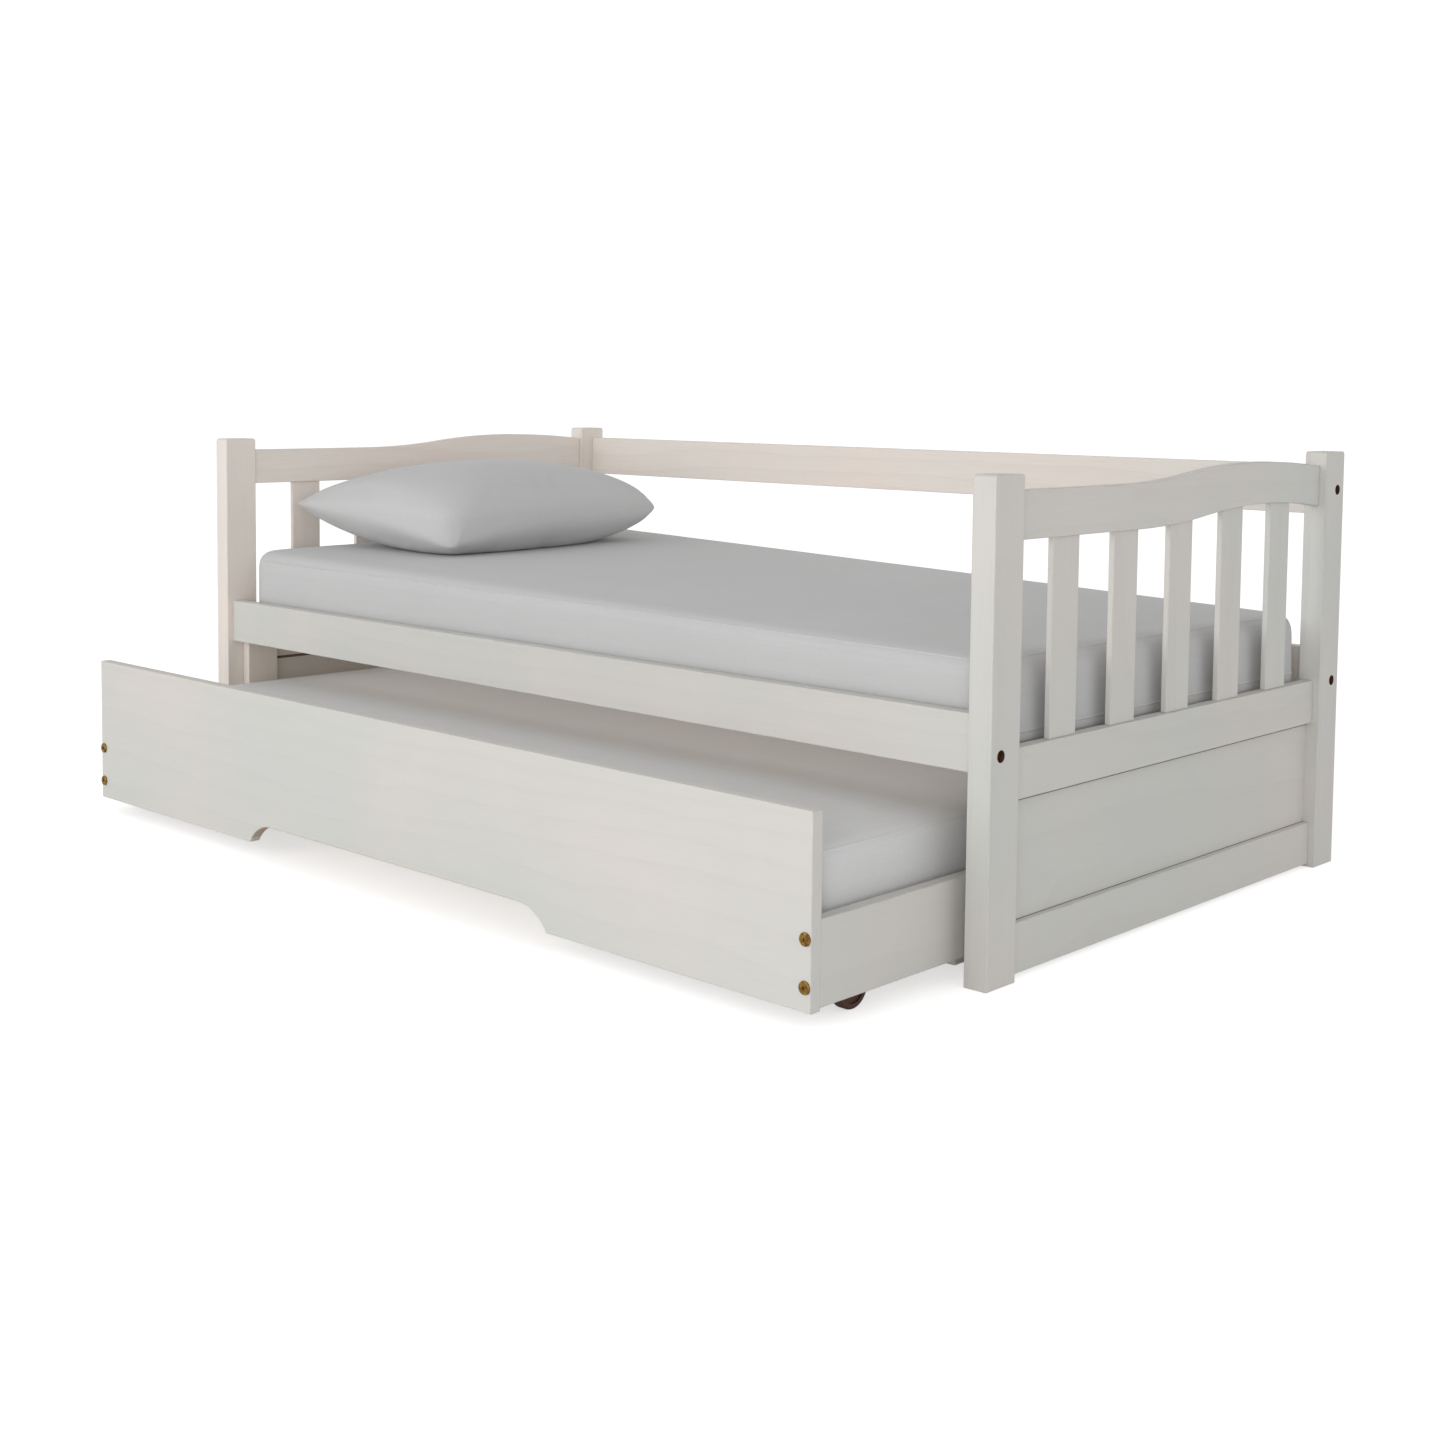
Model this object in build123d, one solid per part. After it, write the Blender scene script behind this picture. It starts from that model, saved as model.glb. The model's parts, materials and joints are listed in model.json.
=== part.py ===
"""Trundle day bed in painted pine.

A day bed with wavy-topped ends stands on four posts. A trundle on four wheels rolls out from
under it to the front. Both carry a foam mattress, and a pillow lies at the head end.

Frame: +X along the bed towards the foot end, +Y towards the back, +Z up, millimetres. The origin
is on the floor, under the centre of the whole object with the trundle part-way out.
"""
import os

from build123d import *

os.makedirs("parts", exist_ok=True)

# Whole bed
BED_LENGTH = 1980
BED_DEPTH = 1070
TRUNDLE_REACH = 303          # front of the posts to the trundle's front face
EASE = 1.5                   # radius on every sawn edge

# Posts
POST_WIDTH = 40              # along X
POST_DEPTH = 70              # along Y
FRONT_POST_HEIGHT = 730
BACK_POST_HEIGHT = 744
POST_TOP_RADIUS = 6

# Long rails
RAIL_THICKNESS = 24
RAIL_SETBACK = 12            # post face to rail face, front and back
SIDE_RAIL_BOTTOM = 306
SIDE_RAIL_TOP = 391
UPPER_RAIL_BOTTOM = 632
UPPER_RAIL_TOP = 720

# End frames
END_SETBACK = 12             # post's outer face to the end rails' outer face
END_THICKNESS = 20
BOTTOM_RAIL = (6, 81)
MIDDLE_RAIL = (261, 337)
TOP_RAIL_DEPTH = 71
TOP_RAIL_LOW = 706           # top edge at the front post
TOP_RAIL_CREST = 731
TOP_RAIL_BACK = 719          # top edge at the back post
WAVE_START = 370             # from the posts' front faces
WAVE_RUN = 400
WAVE_LAG = 35                # the lower edge's wave starts this much further back
PANEL_THICKNESS = 8
PANEL_SETBACK = 23           # post's outer face to the panel
GROOVE = 6
SLAT_COUNT = 5
SLAT_PITCH = 165
SLAT_WIDTH = 69
SLAT_THICKNESS = 10

# Bed base
LEDGE = (28, 18)             # width, height
BED_SLATS = 13
BED_SLAT = (68, 16)          # width, thickness
LEG_BLOCK = (22, 70)         # along X, along Y

# Mattresses and pillow
MATTRESS = (1896, 988, 145)
MATTRESS_CORNER = 70
TRUNDLE_MATTRESS = (1796, 946, 134)
MATTRESS_EDGE = 22
PILLOW = (450, 700, 190)
PILLOW_PLACE = (285, 510)    # centre, from the bed's outer head end and the posts' front

# Trundle
BOARD_SPAN = 1848
BOARD_BOTTOM = 26
BOARD_TOP = 297
BOARD_THICKNESS = 21
TRUNDLE_DEPTH = 1000
SIDE_BOARD = (30, 150)       # bottom, top
SIDE_BOARD_THICKNESS = 20
SCOOP_HALF = 400
SCOOP_RISE = 36
SCOOP_RADIUS = 80
TRUNDLE_LEDGE = (25, 22)
TRUNDLE_SLATS = 12
TRUNDLE_SLAT = (62, 14)
TRUNDLE_SLAT_TOP = 104
CROSS_RAIL_THICKNESS = 24
CROSS_RAIL_BOTTOM = 12
CROSS_RAILS = (345, 640)     # front of the trundle to each cross rail

# Wheels
WHEEL_RADIUS = 32
WHEEL_WIDTH = 18
WHEEL_INSET = 118            # trundle's front or back face to the axle
AXLE_RADIUS = 4
RUNNING_GAP = 0.05
SIDE_GAP = 0.5
COLLAR = 2.5

# Fasteners
BOLT_RADIUS = 3
SIDE_BOLT_HEIGHT = 334       # bolts of the low rails
TRUNDLE_BOLTS = (60, 125)    # heights
HOLE_RADIUS = 3.3
RECESS = (9, 11)             # radius, depth
BOLT_HEAD = (6.5, 4)         # radius, height, in the posts
FLANGE_HEAD = (9.5, 3)       # radius, height, on the trundle's front
HEX_SOCKET = 2.9             # radius over the corners
NUT_RADIUS = 5
NUT_DISTANCE = 35            # from a board's end to its barrel nut
FIT = 0.1                    # clearance round nuts, dowels and screws
DOWEL = (4, 30)              # radius, length
SCREW_HEAD = 3.6
SCREW_RADIUS = 1.9
SCREW_LENGTH = 30

# Derived places
HALF = BED_LENGTH / 2
FRONT = (TRUNDLE_REACH + FLANGE_HEAD[1] - BED_DEPTH) / 2
BACK = FRONT + BED_DEPTH
INNER = HALF - POST_WIDTH
RAIL_CENTRE = RAIL_SETBACK + RAIL_THICKNESS / 2
SLAT_BED = SIDE_RAIL_BOTTOM + LEDGE[1]
MATTRESS_BOTTOM = SLAT_BED + BED_SLAT[1]
MATTRESS_TOP = MATTRESS_BOTTOM + MATTRESS[2]
MID_DEPTH = (FRONT + BACK) / 2
END_FRONT = FRONT + POST_DEPTH
END_BACK = BACK - POST_DEPTH
END_CENTRE = HALF - END_SETBACK - END_THICKNESS / 2
TRUNDLE_FRONT = FRONT - TRUNDLE_REACH
TRUNDLE_BACK = TRUNDLE_FRONT + TRUNDLE_DEPTH
TRAY_FRONT = TRUNDLE_FRONT + BOARD_THICKNESS
TRAY_BACK = TRUNDLE_BACK - SIDE_BOARD_THICKNESS
SIDE_OUTER = BOARD_SPAN / 2
SIDE_INNER = SIDE_OUTER - SIDE_BOARD_THICKNESS
TRUNDLE_SLAT_BED = TRUNDLE_SLAT_TOP - TRUNDLE_SLAT[1]
SIDES = {"left": -1, "right": 1}


def slab(x, y, z, ease=EASE):
    """A board between the given limits, with its edges eased."""
    sizes = [high - low for low, high in (x, y, z)]
    board = Pos(sum(x) / 2, sum(y) / 2, sum(z) / 2) * Box(*sizes)
    return fillet(board.edges(), ease) if ease else board


def across(side, inner, outer):
    """X limits on one side of the bed, in rising order."""
    return tuple(sorted((side * inner, side * outer)))


def rod(start, end, radius):
    """A round bar between two points."""
    axis = Vector(*end) - Vector(*start)
    return Plane(origin=start, z_dir=axis) * Cylinder(
        radius, axis.length, align=(Align.CENTER, Align.CENTER, Align.MIN))


def cut(body, tools):
    """The body with every tool taken out of it."""
    for tool in tools:
        body = body - tool
    return body


def ease_faces(body, axis):
    """Ease the outlines of the two outermost faces along an axis."""
    faces = body.faces().sort_by(axis)
    return fillet(faces[0].edges() + faces[-1].edges(), EASE)


# ---------------------------------------------------------------- posts and their joints

def post_blank(side, back):
    """One post with a rounded top, before any holes."""
    height = BACK_POST_HEIGHT if back else FRONT_POST_HEIGHT
    front = BACK - POST_DEPTH if back else FRONT
    outline = Pos(front + POST_DEPTH / 2, height / 2) * Rectangle(POST_DEPTH, height)
    outline = fillet(outline.vertices().group_by(Axis.Y)[-1], POST_TOP_RADIUS)
    post = Pos(-POST_WIDTH / 2, 0, 0) * extrude(Plane.YZ * outline, POST_WIDTH)
    return Pos(side * (HALF - POST_WIDTH / 2), 0, 0) * ease_faces(post, Axis.X)


def bolt_places():
    """Side, Y and Z of each bolt that holds a long rail to a post."""
    upper_height = (UPPER_RAIL_BOTTOM + UPPER_RAIL_TOP) / 2
    rows = ((FRONT + RAIL_CENTRE, SIDE_BOLT_HEIGHT), (BACK - RAIL_CENTRE, SIDE_BOLT_HEIGHT),
            (BACK - RAIL_CENTRE, upper_height))
    return [(side, y, z) for side in SIDES.values() for y, z in rows]


def bolt_hole(side, y, z):
    """Counterbored hole through a post and into the end of its rail."""
    outer = side * HALF
    floor = side * (HALF - RECESS[1])
    tip = side * (INNER - NUT_DISTANCE - 3 * BOLT_RADIUS)
    return rod((outer + side, y, z), (floor, y, z), RECESS[0]) + rod(
        (floor, y, z), (tip, y, z), HOLE_RADIUS)


def frame_bolt(side, y, z):
    """Socket-head bolt at the bottom of its counterbore."""
    floor = side * (HALF - RECESS[1])
    top = floor + side * BOLT_HEAD[1]
    tip = side * (INNER - NUT_DISTANCE - 2 * BOLT_RADIUS)
    head = rod((floor, y, z), (top, y, z), BOLT_HEAD[0])
    socket = Pos(floor + side * BOLT_HEAD[1] / 2, y, z) * Rot(0, 90, 0) * extrude(
        RegularPolygon(HEX_SOCKET, 6), BOLT_HEAD[1], both=True)
    return head - socket + rod((tip, y, z), (floor + side, y, z), BOLT_RADIUS)


def frame_nut(side, y, z, grow=0.0):
    """Barrel nut set into a rail's rear face, or with some growth the hole for it."""
    x = side * (INNER - NUT_DISTANCE)
    reach = RAIL_THICKNESS / 2 - 3
    opening = y + reach + (3.5 if grow else 0)
    return rod((x, y - reach - grow, z), (x, opening, z), NUT_RADIUS + grow)


def dowel_places():
    """Z of each dowel in an end rail, one list for the front joints and one for the back."""
    straight = [z for rail in (BOTTOM_RAIL, MIDDLE_RAIL)
                for z in (rail[0] + 20, rail[1] - 20)]
    front, back = (top - TOP_RAIL_DEPTH / 2 for top in (TOP_RAIL_LOW, TOP_RAIL_BACK))
    return (straight + [front - 15, front + 15], straight + [back - 15, back + 15])


def dowels(side, grow=0.0):
    """Dowels between one end frame's rails and its posts."""
    x = side * END_CENTRE
    half = DOWEL[1] / 2 + grow
    return [rod((x, joint - half, z), (x, joint + half, z), DOWEL[0] + grow)
            for joint, heights in zip((END_FRONT, END_BACK), dowel_places()) for z in heights]


# ---------------------------------------------------------------- end frames

def wave(height, start):
    """One long edge of the wavy rail: level, up an S, then over the crest."""
    rise = TOP_RAIL_CREST - TOP_RAIL_LOW
    y0, y1 = FRONT + start, FRONT + start + WAVE_RUN
    middle = ((y0 + y1) / 2, height + rise / 2)
    ends = (END_FRONT, height), (END_BACK, height + TOP_RAIL_BACK - TOP_RAIL_LOW)
    return ends, [Line(ends[0], (y0, height)),
                  TangentArc((y0, height), middle, tangent=(1, 0)),
                  TangentArc((y1, height + rise), middle, tangent=(-1, 0)),
                  TangentArc((y1, height + rise), ends[1], tangent=(1, 0))]


def top_rail(side):
    """Wavy top rail of one end frame."""
    upper_ends, upper = wave(TOP_RAIL_LOW, WAVE_START)
    lower_ends, lower = wave(TOP_RAIL_LOW - TOP_RAIL_DEPTH, WAVE_START + WAVE_LAG)
    ends = [Line(top, low) for top, low in zip(upper_ends, lower_ends)]
    outline = Plane.YZ * make_face(upper + lower + ends)
    rail = Pos(-END_THICKNESS / 2, 0, 0) * extrude(outline, END_THICKNESS)
    return Pos(side * END_CENTRE, 0, 0) * ease_faces(rail, Axis.X)


def end_rail(side, height):
    """Straight rail of one end frame."""
    half = END_THICKNESS / 2
    return slab(across(side, END_CENTRE - half, END_CENTRE + half), (END_FRONT, END_BACK), height)


def end_panel(side):
    """Flat panel, held in grooves on all four sides."""
    outer = HALF - PANEL_SETBACK
    return slab(across(side, outer - PANEL_THICKNESS, outer),
                (END_FRONT - GROOVE, END_BACK + GROOVE),
                (BOTTOM_RAIL[1] - GROOVE, MIDDLE_RAIL[0] + GROOVE), ease=0)


def end_slat(side, index, rail):
    """Upright slat between the middle rail and the wavy rail, numbered from the front."""
    y = MID_DEPTH + (index - (SLAT_COUNT + 1) / 2) * SLAT_PITCH
    half = SLAT_THICKNESS / 2
    slat = slab(across(side, END_CENTRE - half, END_CENTRE + half),
                (y - SLAT_WIDTH / 2, y + SLAT_WIDTH / 2),
                (MIDDLE_RAIL[1], TOP_RAIL_CREST - TOP_RAIL_DEPTH / 2))
    return (slat - rail).solids().sort_by(Axis.Z)[0]


def end_frame(side, name):
    """All pieces of one end: posts, rails, panel and slats."""
    panel = end_panel(side)
    sockets = dowels(side, FIT)
    holes = [bolt_hole(*place) for place in bolt_places() if place[0] == side]
    top = top_rail(side)
    pieces = {
        f"post_front_{name}": cut(post_blank(side, False), [panel] + sockets + holes[:1]),
        f"post_back_{name}": cut(post_blank(side, True), [panel] + sockets + holes[1:]),
        f"bottom_rail_{name}": cut(end_rail(side, BOTTOM_RAIL), [panel] + sockets),
        f"middle_rail_{name}": cut(end_rail(side, MIDDLE_RAIL), [panel] + sockets),
        f"top_rail_{name}": cut(top, sockets),
        f"end_panel_{name}": panel,
        f"dowels_{name}": dowels(side)}
    for index in range(1, SLAT_COUNT + 1):
        pieces[f"end_slat_{name}_{index}"] = end_slat(side, index, top)
    return pieces


# ---------------------------------------------------------------- long rails and bed base

def long_rail(front, height):
    """Rail between the posts, bored for its bolts and barrel nuts."""
    rail = slab((-INNER, INNER), (front, front + RAIL_THICKNESS), height)
    near = [place for place in bolt_places()
            if front < place[1] < front + RAIL_THICKNESS and height[0] < place[2] < height[1]]
    return cut(rail, [bolt_hole(*place) for place in near]
               + [frame_nut(*place, grow=FIT) for place in near])


def spread(count, span):
    """Centres of equal pieces over a span that is centred on zero."""
    return [span * (index / (count - 1) - 0.5) for index in range(count)]


def screw(x, y, top, grow=0.0):
    """Countersunk screw pointing down, or with some growth the hole for it."""
    head = Pos(x, y, top - 1.5) * Cone(SCREW_RADIUS + grow, SCREW_HEAD + grow, 3)
    return head + rod((x, y, top - SCREW_LENGTH - grow), (x, y, top - 2), SCREW_RADIUS + grow)


def base(limits, ledge, slat, bed, count, span):
    """Two ledges, the slats on them and the screws through both.

    limits are the inner faces of the front and back boards, and bed is the ledges' top.
    """
    length = span + 2 * slat[0]
    sides = ((limits[0], limits[0] + ledge[0]), (limits[1] - ledge[0], limits[1]))
    places = [(x, sum(side) / 2) for x in spread(count, span) for side in sides]
    holes = [screw(x, y, bed + slat[1], FIT) for x, y in places]
    ledges = [cut(slab((-length / 2, length / 2), side, (bed - ledge[1], bed)), holes)
              for side in sides]
    slats = [slab((x - slat[0] / 2, x + slat[0] / 2), (limits[0] + 1, limits[1] - 1),
                  (bed, bed + slat[1])) for x in spread(count, span)]
    slats = [cut(board, holes[2 * index:2 * index + 2]) for index, board in enumerate(slats)]
    return ledges, slats, [screw(x, y, bed + slat[1]) for x, y in places]


def leg_block(side):
    """Short leg against a front post, under the ledge."""
    y = FRONT + RAIL_SETBACK + RAIL_THICKNESS
    return slab(across(side, INNER - LEG_BLOCK[0], INNER), (y, y + LEG_BLOCK[1]),
                (0, SIDE_RAIL_BOTTOM))


def bed_base():
    """Long rails, ledges, slats, leg blocks and their fasteners."""
    front = FRONT + RAIL_SETBACK
    back = BACK - RAIL_SETBACK - RAIL_THICKNESS
    side_height = (SIDE_RAIL_BOTTOM, SIDE_RAIL_TOP)
    ledges, slats, screws = base((front + RAIL_THICKNESS, back), LEDGE, BED_SLAT, SLAT_BED,
                                 BED_SLATS, 2 * INNER - 3 * BED_SLAT[0])
    pieces = {
        "front_rail": long_rail(front, side_height),
        "back_rail_lower": long_rail(back, side_height),
        "back_rail_upper": long_rail(back, (UPPER_RAIL_BOTTOM, UPPER_RAIL_TOP)),
        "slat_ledge_front": ledges[0],
        "slat_ledge_back": ledges[1],
        "bed_slats": slats,
        "bed_slat_screws": screws,
        "frame_bolts": [frame_bolt(*place) for place in bolt_places()],
        "frame_barrel_nuts": [frame_nut(*place) - bolt_hole(*place) for place in bolt_places()]}
    for name, side in SIDES.items():
        pieces[f"leg_block_{name}"] = leg_block(side)
    return pieces


# ---------------------------------------------------------------- soft pieces

def mattress(size, corner, centre_y, bottom):
    """Block with rounded corners in plan and soft edges."""
    plan = RectangleRounded(size[0], size[1], corner)
    block = extrude(plan, size[2])
    rims = block.faces().sort_by(Axis.Z)
    return Pos(0, centre_y, bottom) * fillet(rims[0].edges() + rims[-1].edges(), MATTRESS_EDGE)


def pillow():
    """Plump pillow across the head end."""
    block = extrude(RectangleRounded(PILLOW[0], PILLOW[1], 80), PILLOW[2])
    rims = block.faces().sort_by(Axis.Z)
    block = fillet(rims[0].edges() + rims[-1].edges(), 72)
    return Pos(PILLOW_PLACE[0] - HALF, FRONT + PILLOW_PLACE[1], MATTRESS_TOP + 1) * block


# ---------------------------------------------------------------- trundle

def scooped_outline():
    """Front board seen from the front, with the shallow cut-out along its foot."""
    top_of_scoop = BOARD_BOTTOM + SCOOP_RISE
    run = (2 * SCOOP_RADIUS * SCOOP_RISE - SCOOP_RISE ** 2) ** 0.5
    edges = [Line((-SIDE_OUTER, BOARD_TOP), (SIDE_OUTER, BOARD_TOP)),
             Line((SCOOP_HALF - run, top_of_scoop), (run - SCOOP_HALF, top_of_scoop))]
    for side in SIDES.values():
        corner, foot = side * SIDE_OUTER, side * SCOOP_HALF
        shoulder = (foot - side * run, top_of_scoop)
        edges += [Line((corner, BOARD_TOP), (corner, BOARD_BOTTOM)),
                  Line((corner, BOARD_BOTTOM), (foot, BOARD_BOTTOM)),
                  TangentArc(shoulder, (foot, BOARD_BOTTOM), tangent=(side, 0))]
    return make_face(edges)


def trundle_bolt_places():
    """Side and Z of each bolt through the front board."""
    return [(side, z) for side in SIDES.values() for z in TRUNDLE_BOLTS]


def trundle_bolt_hole(side, z):
    """Hole through the front board and into the end of a side board."""
    x = side * (SIDE_OUTER - SIDE_BOARD_THICKNESS / 2)
    tip = TRAY_FRONT + NUT_DISTANCE + 3 * BOLT_RADIUS
    return rod((x, TRUNDLE_FRONT - 1, z), (x, tip, z), HOLE_RADIUS)


def trundle_bolt(side, z):
    """Flanged bolt with a domed head and a hexagon socket."""
    x = side * (SIDE_OUTER - SIDE_BOARD_THICKNESS / 2)
    radius, height = FLANGE_HEAD
    head = rod((x, TRUNDLE_FRONT, z), (x, TRUNDLE_FRONT - height, z), radius)
    head = fillet(head.edges().sort_by(Axis.Y)[0], 1.6)
    socket = Pos(x, TRUNDLE_FRONT - height, z) * Rot(90, 0, 0) * extrude(
        RegularPolygon(HEX_SOCKET, 6), height - 0.8, both=True)
    tip = TRAY_FRONT + NUT_DISTANCE + 2 * BOLT_RADIUS
    return head - socket + rod((x, TRUNDLE_FRONT - 0.5, z), (x, tip, z), BOLT_RADIUS)


def trundle_nut(side, z, grow=0.0):
    """Barrel nut across a side board, or with some growth the hole for it."""
    y = TRAY_FRONT + NUT_DISTANCE
    mouth = SIDE_INNER - 1 if grow else SIDE_INNER + 2
    return rod((side * (SIDE_OUTER - 2 + grow), y, z), (side * mouth, y, z), NUT_RADIUS + grow)


def wheel_places():
    """Name, side and Y of each wheel."""
    rows = {"front": TRUNDLE_FRONT + WHEEL_INSET, "back": TRUNDLE_BACK - WHEEL_INSET}
    return [(f"{row}_{name}", side, y) for row, y in rows.items() for name, side in SIDES.items()]


def axle(side, y):
    """Pin fixed in a side board, with a collar behind the wheel and a head before it."""
    z = WHEEL_RADIUS
    wheel_outer = SIDE_INNER - COLLAR - SIDE_GAP
    head = wheel_outer - WHEEL_WIDTH - SIDE_GAP
    pin = rod((side * (SIDE_INNER + 12), y, z), (side * head, y, z), AXLE_RADIUS)
    collar = rod((side * SIDE_INNER, y, z), (side * (SIDE_INNER - COLLAR), y, z), 8)
    return pin + collar + rod((side * head, y, z), (side * (head - 3), y, z), 7.5)


def wheel(side, y):
    """Turned wheel with rounded rims, a dished face each side and a running bore."""
    outer = SIDE_INNER - COLLAR - SIDE_GAP
    limits = sorted((side * outer, side * (outer - WHEEL_WIDTH)))
    tread = rod((limits[0], y, WHEEL_RADIUS), (limits[1], y, WHEEL_RADIUS), WHEEL_RADIUS)
    tread = fillet(tread.edges().filter_by(GeomType.CIRCLE), 3.5)
    for x, way in zip(limits, (1, -1)):
        dish = rod((x, y, WHEEL_RADIUS), (x + way * 3, y, WHEEL_RADIUS), WHEEL_RADIUS - 8)
        tread = tread - (dish - rod((x, y, WHEEL_RADIUS), (x + way * 3, y, WHEEL_RADIUS), 10))
    return tread - rod((limits[0] - 1, y, WHEEL_RADIUS), (limits[1] + 1, y, WHEEL_RADIUS),
                       AXLE_RADIUS + RUNNING_GAP)


def cross_rail(offset):
    """Rail across the trundle under its slats."""
    y = TRUNDLE_FRONT + offset
    return slab((-SIDE_INNER, SIDE_INNER), (y, y + CROSS_RAIL_THICKNESS),
                (CROSS_RAIL_BOTTOM, TRUNDLE_SLAT_BED))


def trundle_dowels(grow=0.0):
    """Dowels from the side boards into the cross rails and the back board."""
    centres = [TRUNDLE_FRONT + offset + CROSS_RAIL_THICKNESS / 2 for offset in CROSS_RAILS]
    centres.append(TRUNDLE_BACK - SIDE_BOARD_THICKNESS / 2)
    return [rod((side * (SIDE_INNER - 17 - grow), y, z), (side * (SIDE_INNER + 13 + grow), y, z),
                DOWEL[0] + grow)
            for side in SIDES.values() for y in centres for z in (44, 72)]


def side_board(side, holes):
    """Side board of the trundle, drilled for its axles, bolts, nuts and dowels."""
    board = slab(across(side, SIDE_INNER, SIDE_OUTER), (TRAY_FRONT, TRUNDLE_BACK), SIDE_BOARD)
    pins = [rod((side * (SIDE_INNER - 1), y, WHEEL_RADIUS),
                (side * (SIDE_INNER + 12 + FIT), y, WHEEL_RADIUS), AXLE_RADIUS + FIT)
            for _, wheel_side, y in wheel_places() if wheel_side == side]
    return cut(board, holes + pins)


def trundle():
    """Boards, ledges, slats, wheels and fasteners of the trundle."""
    front = Pos(0, TRAY_FRONT, 0) * extrude(Plane.XZ * scooped_outline(), BOARD_THICKNESS)
    bolts = trundle_bolt_places()
    holes = [trundle_bolt_hole(*place) for place in bolts]
    pegs = trundle_dowels(FIT)
    nut_holes = [trundle_nut(*place, grow=FIT) for place in bolts]
    back = slab((-SIDE_INNER, SIDE_INNER), (TRAY_BACK, TRUNDLE_BACK), SIDE_BOARD)
    ledges, slats, screws = base((TRAY_FRONT, TRAY_BACK), TRUNDLE_LEDGE, TRUNDLE_SLAT,
                                 TRUNDLE_SLAT_BED, TRUNDLE_SLATS,
                                 2 * SIDE_INNER - 3 * TRUNDLE_SLAT[0])
    pieces = {
        "trundle_front_board": cut(ease_faces(front, Axis.Y), holes),
        "trundle_back_board": cut(back, pegs),
        "trundle_ledge_front": ledges[0],
        "trundle_ledge_back": ledges[1],
        "trundle_slats": slats,
        "trundle_slat_screws": screws,
        "trundle_bolts": [trundle_bolt(*place) for place in bolts],
        "trundle_barrel_nuts": [trundle_nut(*place) - trundle_bolt_hole(*place)
                                for place in bolts],
        "trundle_dowels": trundle_dowels()}
    for number, offset in enumerate(CROSS_RAILS, 1):
        pieces[f"trundle_cross_rail_{number}"] = cut(cross_rail(offset), pegs)
    for name, side in SIDES.items():
        pieces[f"trundle_side_{name}"] = side_board(side, holes + nut_holes + pegs)
    pieces["wheel_axles"] = [axle(side, y) for _, side, y in wheel_places()]
    for name, side, y in wheel_places():
        pieces[f"wheel_{name}"] = wheel(side, y)
    return pieces


def everything():
    """Every node of the object by name: one solid, or a list of separate ones."""
    tray_middle = (TRAY_FRONT + TRAY_BACK) / 2
    pieces = {
        "mattress": mattress(MATTRESS, MATTRESS_CORNER, MID_DEPTH, MATTRESS_BOTTOM),
        "trundle_mattress": mattress(TRUNDLE_MATTRESS, 40, tray_middle, TRUNDLE_SLAT_TOP),
        "pillow": pillow()}
    pieces.update(bed_base())
    pieces.update(trundle())
    for name, side in SIDES.items():
        pieces.update(end_frame(side, name))
    return pieces


for node, shape in everything().items():
    export_step(Compound(children=shape) if isinstance(shape, list) else shape,
                f"parts/{node}.step")
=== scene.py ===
"""The looks of a white painted pine day bed with a trundle that rolls out at its front.

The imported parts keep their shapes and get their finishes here. The two mattresses and the pillow are made as
stuffed cloth: a plain closed form, swollen by a cloth simulation, then given seams, a welt and stitches.
Lengths are in metres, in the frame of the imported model: X along the bed, -Y to its front, Z up.
"""

from __future__ import annotations

import json
import logging
import math
from dataclasses import dataclass, field
from enum import Enum
from typing import Any, ClassVar

import bpy
import numpy as np
from mathutils import Matrix, Vector
from mathutils.bvhtree import BVHTree

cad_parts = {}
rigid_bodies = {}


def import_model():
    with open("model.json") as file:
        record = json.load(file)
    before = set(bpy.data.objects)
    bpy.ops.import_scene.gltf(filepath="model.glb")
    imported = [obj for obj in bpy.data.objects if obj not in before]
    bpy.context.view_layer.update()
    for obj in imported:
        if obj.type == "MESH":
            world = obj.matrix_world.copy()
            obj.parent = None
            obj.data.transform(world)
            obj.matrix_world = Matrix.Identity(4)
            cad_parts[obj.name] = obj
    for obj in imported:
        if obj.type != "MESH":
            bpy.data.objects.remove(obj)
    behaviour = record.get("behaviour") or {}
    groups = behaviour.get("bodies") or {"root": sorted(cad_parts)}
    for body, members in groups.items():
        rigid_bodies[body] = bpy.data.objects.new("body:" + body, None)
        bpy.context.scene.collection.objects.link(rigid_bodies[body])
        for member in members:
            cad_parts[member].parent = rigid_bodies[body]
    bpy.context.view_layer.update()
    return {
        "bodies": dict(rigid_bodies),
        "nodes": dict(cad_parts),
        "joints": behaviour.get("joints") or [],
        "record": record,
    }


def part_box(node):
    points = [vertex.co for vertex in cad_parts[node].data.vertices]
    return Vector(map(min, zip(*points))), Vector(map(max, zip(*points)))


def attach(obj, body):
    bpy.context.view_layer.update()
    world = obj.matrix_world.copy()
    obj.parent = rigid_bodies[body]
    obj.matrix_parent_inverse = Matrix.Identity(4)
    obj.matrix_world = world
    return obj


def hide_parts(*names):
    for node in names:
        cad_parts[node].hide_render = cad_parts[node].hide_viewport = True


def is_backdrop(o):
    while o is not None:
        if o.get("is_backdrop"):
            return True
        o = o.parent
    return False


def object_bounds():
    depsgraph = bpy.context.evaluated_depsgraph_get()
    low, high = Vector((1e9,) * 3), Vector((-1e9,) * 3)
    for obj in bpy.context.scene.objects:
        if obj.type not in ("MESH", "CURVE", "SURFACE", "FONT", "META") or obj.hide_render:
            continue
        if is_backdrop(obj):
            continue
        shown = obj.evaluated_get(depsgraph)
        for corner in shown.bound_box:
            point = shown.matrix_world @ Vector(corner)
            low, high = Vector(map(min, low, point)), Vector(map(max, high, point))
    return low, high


LOG = logging.getLogger("day_bed")
MM = 0.001
Colour = tuple[float, float, float, float]


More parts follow.
